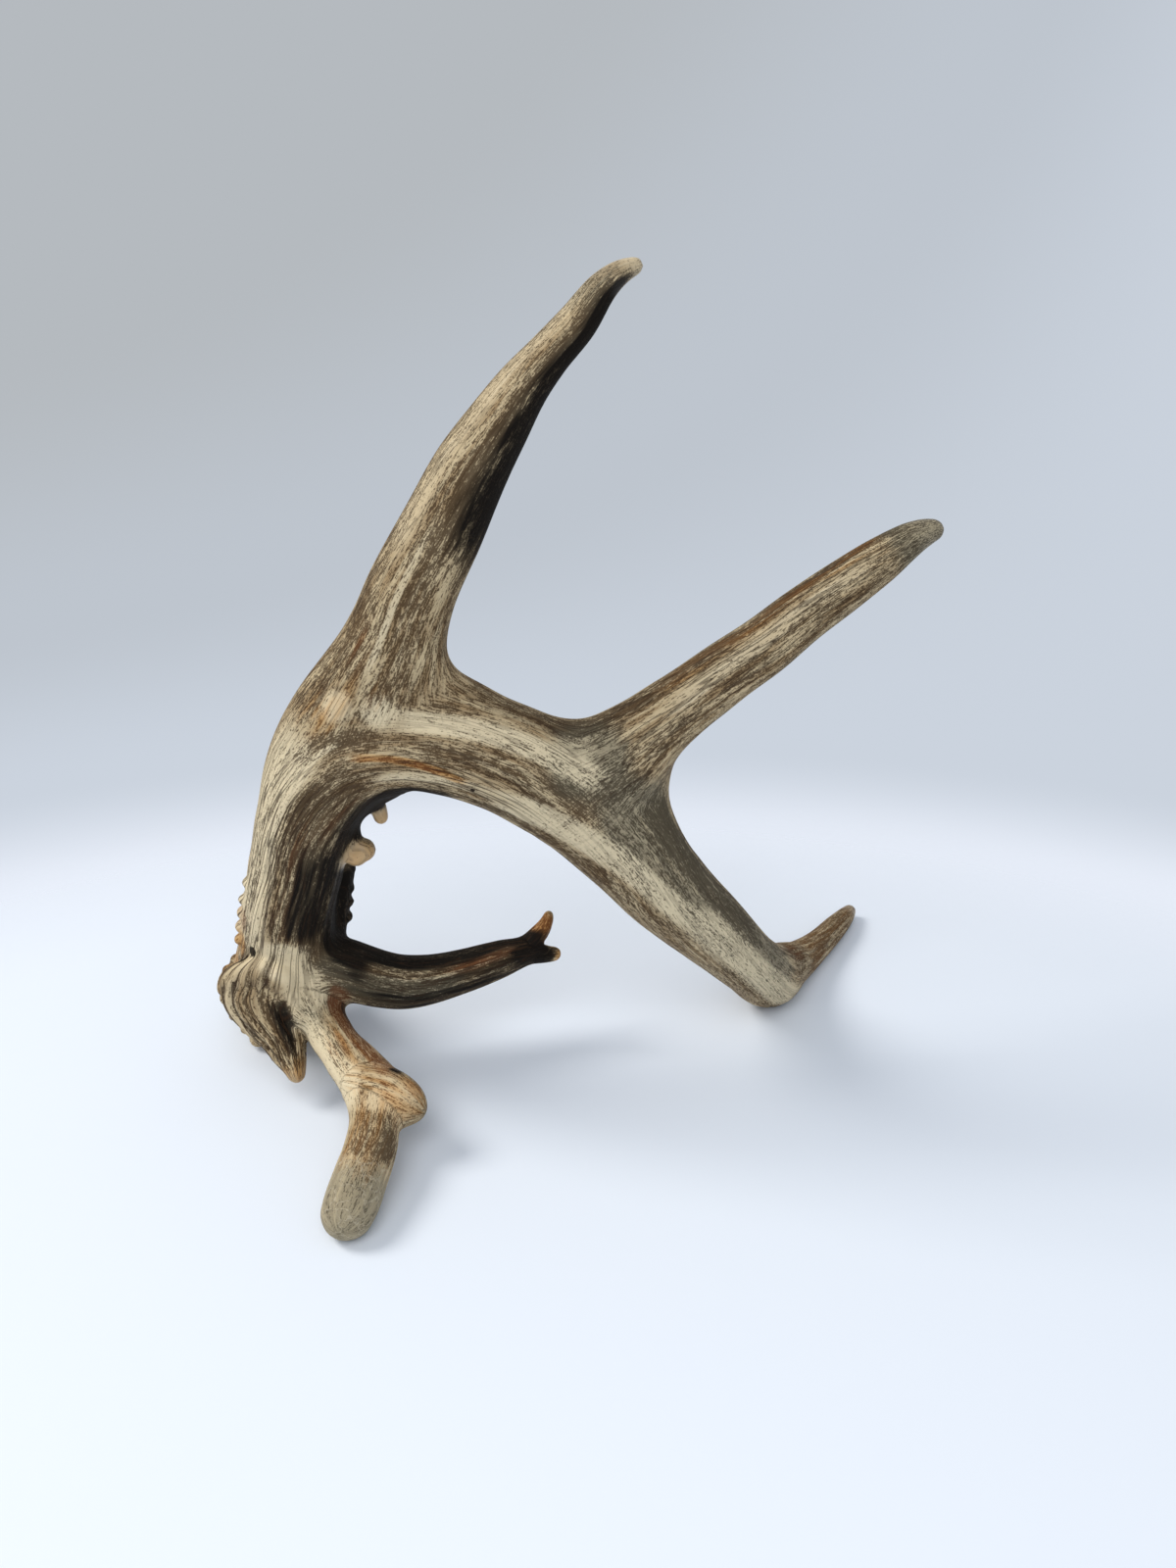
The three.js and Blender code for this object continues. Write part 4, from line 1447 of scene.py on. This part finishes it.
@dataclass(frozen=True)
class FineCracks:
    """Fine pale cracks: the borders of uneven cells, in object coordinates."""

    cells: float = 140.0
    wobbles: float = 260.0
    wobble: float = 0.006
    edge: Pair = (0.05, 0.01)

    def group(self) -> bpy.types.NodeTree:
        """Makes the node group.

        Returns:
            The group's tree.
        """
        wire, place, out = Wiring.group("fine cracks", "Vector", ["Crack"])
        noise = wire.node("ShaderNodeTexNoise", {"Vector": place, "Scale": self.wobbles})
        bend = wire.vector("SCALE", {0: noise.outputs["Color"], "Scale": self.wobble})
        moved = wire.vector("ADD", {0: place, 1: bend.outputs[0]})
        inputs = {"Vector": moved.outputs[0], "Scale": self.cells}
        cells = wire.node("ShaderNodeTexVoronoi", inputs, feature="DISTANCE_TO_EDGE")
        wire.feed(out.inputs["Crack"], wire.ramp(cells.outputs["Distance"], *self.edge))
        return wire.tree


DENSITY = {BROWN: 0.3, DARK: 0.42, RUST: 0.16, GREY: 0.12, CREAM: -0.28, CRACKLE: -0.4, POLISH: -0.25}


@dataclass(frozen=True)
class BoneFinish:
    """Weathered antler: pale bone with brown dashes along the grain, stained in places and with painted
    shade in its darkest marks.

    Dashes are dense where the marks and stains add up to much. Cover is how strong a mark is over what
    lies under it, and rag is how far the streaks push a stain's border.
    """

    bone: Shade = (196, 177, 142)
    bone_brown: Shade = (152, 128, 94)
    cream: Shade = (222, 207, 174)
    grey: Shade = (148, 140, 118)
    ochre: Shade = (194, 146, 84)
    rust: Shade = (148, 90, 42)
    # dark and dash_dark colour dark stains and painted shade alike
    dark: Shade = (24, 16, 10)
    dash: Shade = (64, 46, 28)
    dash_dark: Shade = (5, 3, 2)
    dash_rust: Shade = (94, 48, 20)
    dash_grey: Shade = (66, 60, 47)
    dash_ochre: Shade = (112, 66, 24)
    groove: Shade = (50, 34, 21)
    crack: Shade = (196, 184, 160)
    brown_edge: Pair = (0.35, 0.65)
    fine_cell: float = 0.0007
    density: float = 0.15
    mottle_density: float = 0.7
    streak_density: float = 0.5
    ridge_density: float = -0.7
    dash_cut: float = 0.7
    dash_gain: float = -0.4
    fine_gain: float = 0.5
    dash_edge: float = 0.1
    rag: float = 1.1
    rag_edge: Pair = (0.15, 0.85)
    stain_edge: Pair = (0.0, 0.2)
    dark_power: float = 2.5
    dash_cover: float = 0.85
    groove_cover: float = 0.8
    crack_cover: float = 0.45
    roughness: float = 0.6
    dash_roughness: float = 0.12
    polished: float = 0.34
    specular: float = 0.12
    gloss: float = 0.4
    gloss_roughness: float = 0.28
    relief: float = 0.0008

    def material(self) -> bpy.types.Material:
        """Builds the material from the mesh's flows and stains.

        Returns:
            The material.
        """
        made = bpy.data.materials.new("weathered antler")
        wire = Wiring.of(made)
        marks = self.marks(wire)
        dash, line, streak, mottle = (marks[mark] for mark in Mark)
        stains = {
            stain: self.ragged(wire, wire.value_of(stain.value), streak)
            for stain in Stain
            if stain is not CLEAN
        }
        place = wire.object_place()
        fine = wire.noise(place, (self.fine_cell,) * 3, 2.0)
        density = wire.total(
            (mottle, self.mottle_density),
            (streak, self.streak_density),
            *((stains[stain], factor) for stain, factor in DENSITY.items()),
            (wire.value_of("ridge"), self.ridge_density),
            start=self.density,
        )
        dashes = self.dashes(wire, dash, fine, density)
        groove = wire.math("MULTIPLY", line, wire.value_of(GROOVE.value))
        crack = wire.node("ShaderNodeGroup", {"Vector": place}, node_tree=FineCracks().group())
        cracked = wire.math("MULTIPLY", crack.outputs["Crack"], stains[CRACKLE])
        bone = wire.tint(wire.ramp(streak, *self.brown_edge), linear(*self.bone), linear(*self.bone_brown))
        colour = self.layered(
            wire,
            bone,
            (stains[GREY], 0.8, self.grey),
            (stains[CREAM], 0.85, self.cream),
            (stains[OCHRE], 0.7, self.ochre),
            (stains[RUST], 0.4, self.rust),
            # this dark layer paints dark stains and painted shade together
            (wire.math("POWER", stains[DARK], self.dark_power), 0.93, self.dark),
        )
        deep = self.layered(
            wire,
            linear(*self.dash),
            (stains[GREY], 0.8, self.dash_grey),
            (stains[OCHRE], 0.7, self.dash_ochre),
            (stains[RUST], 0.85, self.dash_rust),
            (stains[DARK], 1.0, self.dash_dark),
        )
        colour = wire.tint(wire.math("MULTIPLY", dashes, self.dash_cover), colour, deep)
        colour = self.layered(
            wire, colour, (groove, self.groove_cover, self.groove), (cracked, self.crack_cover, self.crack)
        )
        rough = wire.blend(stains[POLISH], self.roughness, self.polished)
        height = wire.total(
            (dashes, -0.22), (groove, -0.5), (streak, 0.35), (fine, 0.15), (cracked, 0.2), start=0.5
        )
        bump = wire.node("ShaderNodeBump", {"Distance": self.relief, "Strength": 1.0, "Height": height})
        shell = wire.node(
            "ShaderNodeBsdfPrincipled",
            {
                "Base Color": colour,
                "Specular IOR Level": self.specular,
                "Coat Roughness": self.gloss_roughness,
                "Coat Weight": wire.math("MULTIPLY", stains[POLISH], self.gloss),
                "Roughness": wire.total((rough, 1.0), (dashes, self.dash_roughness)),
                "Normal": bump.outputs["Normal"],
            },
        )
        wire.finish("ShaderNodeOutputMaterial", shell)
        return made

    def dashes(self, wire: Wiring, dash: Socket, fine: Socket, density: Socket) -> Socket:
        """Where dashes show: the denser they are, the lower the noise that already makes one.

        Args:
            wire: the material's wiring.
            dash: the noise that makes dashes.
            fine: the noise that breaks them up.
            density: how dense they are.

        Returns:
            How strongly a dash shows, from 0 to 1.
        """
        cut = wire.math("MULTIPLY_ADD", density, self.dash_gain, self.dash_cut)
        middle = wire.math("SUBTRACT", dash, self.fine_gain / 2)
        grained = wire.math("MULTIPLY_ADD", fine, self.fine_gain, middle)
        low, high = (wire.math(side, cut, self.dash_edge) for side in ("SUBTRACT", "ADD"))
        return wire.ramp(grained, low, high)

    def marks(self, wire: Wiring) -> dict[Mark, Socket]:
        """The grain's marks on both flows, mixed as the mesh says.

        Args:
            wire: the material's wiring.

        Returns:
            Each mark's value.
        """
        group = GrainMarks().group()
        share = wire.value_of("flow_mix")
        beam, tine = (
            wire.node("ShaderNodeGroup", {"Flow": wire.value_of(name, "Vector")}, node_tree=group)
            for name in ("flow_beam", "flow_tine")
        )
        return {
            mark: wire.blend(share, beam.outputs[mark.value], tine.outputs[mark.value]) for mark in Mark
        }

    def ragged(self, wire: Wiring, amount: Socket, streak: Socket) -> Socket:
        """A stain's amount with a border that the grain's streaks break up.

        Args:
            wire: the material's wiring.
            amount: the stain's smooth amount.
            streak: the streaks' value.

        Returns:
            The broken amount, from 0 to 1.
        """
        pushed = wire.math("MULTIPLY_ADD", streak, self.rag, wire.math("SUBTRACT", amount, self.rag / 2))
        inside = wire.ramp(amount, *self.stain_edge)
        return wire.math("MULTIPLY", wire.ramp(pushed, *self.rag_edge), inside)

    def layered(self, wire: Wiring, base: object, *layers: tuple[Socket, float, Shade]) -> Socket:
        """The base colour with one colour over another.

        Args:
            wire: the material's wiring.
            base: the colour under all others.
            layers: from below to above, where each colour shows, how strong it is, and the colour.

        Returns:
            The colour of all.
        """
        colour = base
        for amount, factor, shade in layers:
            colour = wire.tint(wire.math("MULTIPLY", amount, factor), colour, linear(*shade))
        return colour


# ---- Studio ----


LAMP_AIM = (0.0, 0.0, 0.12)


@dataclass(frozen=True)
class Lamp:
    """A large soft light that looks at the antler's middle."""

    name: str
    place: Triple
    size: float
    power: float
    colour: Triple

    def build(self) -> None:
        """Makes the light."""
        data = bpy.data.lights.new(self.name, "AREA")
        data.shape = "DISK"
        data.size = self.size
        data.energy = self.power
        data.color = self.colour
        made = placed(self.name, data)
        made.location = self.place
        made.rotation_mode = "QUATERNION"
        made.rotation_quaternion = (Vector(LAMP_AIM) - Vector(self.place)).to_track_quat("-Z", "Y")


@dataclass(frozen=True)
class Studio:
    """A pale floor that fades into a blue-grey surround, soft lamps and the camera.

    The surround's colours go by the height of the way one looks, each with its place on that scale; ahead
    and to the left the scale runs faster. The gradient is partly the surround's own blue-grey and partly
    painted light: paler towards the floor, darker high up and to the left.
    """

    floor_centre: Pair = (0.0, -0.30)
    floor_radius: float = 0.95
    fade_start: float = 0.44
    fade_end: float = 0.60
    floor: Shade = (229, 236, 246)
    # painted light in part: pale stops near the floor, darker ones high up
    wall: tuple[tuple[float, Shade], ...] = (
        (0.055, (232, 238, 249)),
        (0.12, (203, 211, 222)),
        (0.30, (190, 197, 206)),
        (0.62, (181, 186, 191)),
    )
    left_start: float = 0.12
    left_gain: float = 2.4
    fill_colour: Colour = (0.9, 0.94, 1.0, 1.0)
    fill_light: float = 0.46
    camera_place: Triple = (0.0138, -0.5319, 0.3738)
    camera_pitch: float = 24.0
    sensor: float = 36.0
    lens: float = 31.5

    def build(self) -> None:
        """Makes the floor, surround, lamps and camera."""
        self.make_floor()
        self.make_surround()
        for lamp in (
            Lamp("key", (-1.7, 0.1, 1.95), 1.1, 36.0, (1.0, 0.965, 0.91)),
            Lamp("front", (-0.1, -1.2, 1.3), 1.4, 13.0, (0.98, 0.99, 1.0)),
        ):
            lamp.build()
        self.make_camera()
        view = bpy.context.scene.view_settings
        view.view_transform = "Standard"
        view.look = "None"

    def make_floor(self) -> None:
        """A disc that turns clear towards its rim, so that no edge shows."""
        angle = np.linspace(0, 2 * math.pi, 96, endpoint=False)
        rim = self.floor_radius * np.stack([np.cos(angle), np.sin(angle), 0 * angle], axis=1)
        rim[:, :2] += self.floor_centre
        mesh = bpy.data.meshes.new("floor")
        mesh.from_pydata([tuple(point) for point in rim], [], [tuple(range(len(rim)))])
        made = bpy.data.materials.new("floor")
        wire = Wiring.of(made)
        away = wire.vector("DISTANCE", {0: wire.object_place(), 1: (*self.floor_centre, 0.0)})
        clear = wire.ramp(away.outputs["Value"], self.fade_start, self.fade_end)
        paper = wire.node("ShaderNodeBsdfDiffuse", {"Color": linear(*self.floor)})
        gone = wire.node("ShaderNodeBsdfTransparent")
        both = wire.node("ShaderNodeMixShader", {0: clear, 1: paper.outputs[0], 2: gone.outputs[0]})
        wire.finish("ShaderNodeOutputMaterial", both)
        mesh.materials.append(made)
        placed("floor", mesh)

    def make_surround(self) -> None:
        """A surround whose colour goes by height, pale below and blue-grey above, partly as painted light;
        it also lights softly.
        """
        world = bpy.data.worlds.new("surround")
        bpy.context.scene.world = world
        wire = Wiring.of(world)
        way = wire.node("ShaderNodeTexCoord").outputs["Generated"]
        x, y, z = wire.node("ShaderNodeSeparateXYZ", {0: way}).outputs
        slope = wire.math("ADD", z, 0.5)
        high = wire.math("MAXIMUM", wire.math("SUBTRACT", slope, self.left_start), 0.0)
        ahead = wire.math("MAXIMUM", y, 0.0)
        # painted shade: the surround darkens ahead and to the left
        left = wire.math("MULTIPLY", wire.math("MULTIPLY", x, ahead), -self.left_gain)
        ramp = wire.node("ShaderNodeValToRGB", {0: wire.math("MULTIPLY_ADD", left, high, slope)})
        ramp.color_ramp.interpolation = "EASE"
        stops = ramp.color_ramp.elements
        for number, (position, shade) in enumerate(self.wall):
            stop = stops[number] if number < 2 else stops.new(position)
            stop.position, stop.color = position, linear(*shade)
        seen = wire.node("ShaderNodeBackground", {"Color": ramp.outputs["Color"]})
        lit = wire.node("ShaderNodeBackground", {"Color": self.fill_colour, "Strength": self.fill_light})
        from_camera = wire.node("ShaderNodeLightPath").outputs["Is Camera Ray"]
        both = wire.node("ShaderNodeMixShader", {0: from_camera, 1: lit.outputs[0], 2: seen.outputs[0]})
        wire.finish("ShaderNodeOutputWorld", both)

    def make_camera(self) -> None:
        """A camera at eye height over the table, looking down on the antler's front."""
        data = bpy.data.cameras.new("camera")
        data.sensor_fit = "AUTO"
        data.sensor_width = self.sensor
        data.lens = self.lens
        data.clip_start = 0.01
        camera = placed("camera", data)
        camera.location = self.camera_place
        camera.rotation_euler = (math.radians(90 - self.camera_pitch), 0, 0)
        bpy.context.scene.camera = camera


# ---- Main ----


def build_antler() -> None:
    """Builds the skin, stains it, divides it and makes each piece."""
    antler = Antler()
    skin, grain = antler.skin()
    normals = skin.normals()
    flow_beam, flow_tine = flows(grain)
    values = {"flow_beam": flow_beam, "flow_tine": flow_tine, "flow_mix": grain.mix}
    values.update({stain.value: amount for stain, amount in stain_amounts(grain, skin.points).items()})
    label = antler.labels(skin, grain)
    across = face_neighbours(skin, label)
    flatten_divisions(skin, label, across)
    values["ridge"] = smoothstep(antler.relief(grain, skin.points), -0.8, 0.8)
    material = BoneFinish().material()
    for number, division in enumerate(DIVISIONS):
        mine = label == number
        piece = Piece(division, skin.quads[mine], across[mine])
        made = piece.build(skin, normals, values, material)
        LOG.info("%s: %d faces", made.name, len(made.data.polygons))


def main() -> None:
    """Builds the antler and the studio."""
    logging.basicConfig(level=logging.INFO, format="%(name)s: %(message)s")
    build_antler()
    Studio().build()


if __name__ == "__main__":
    main()
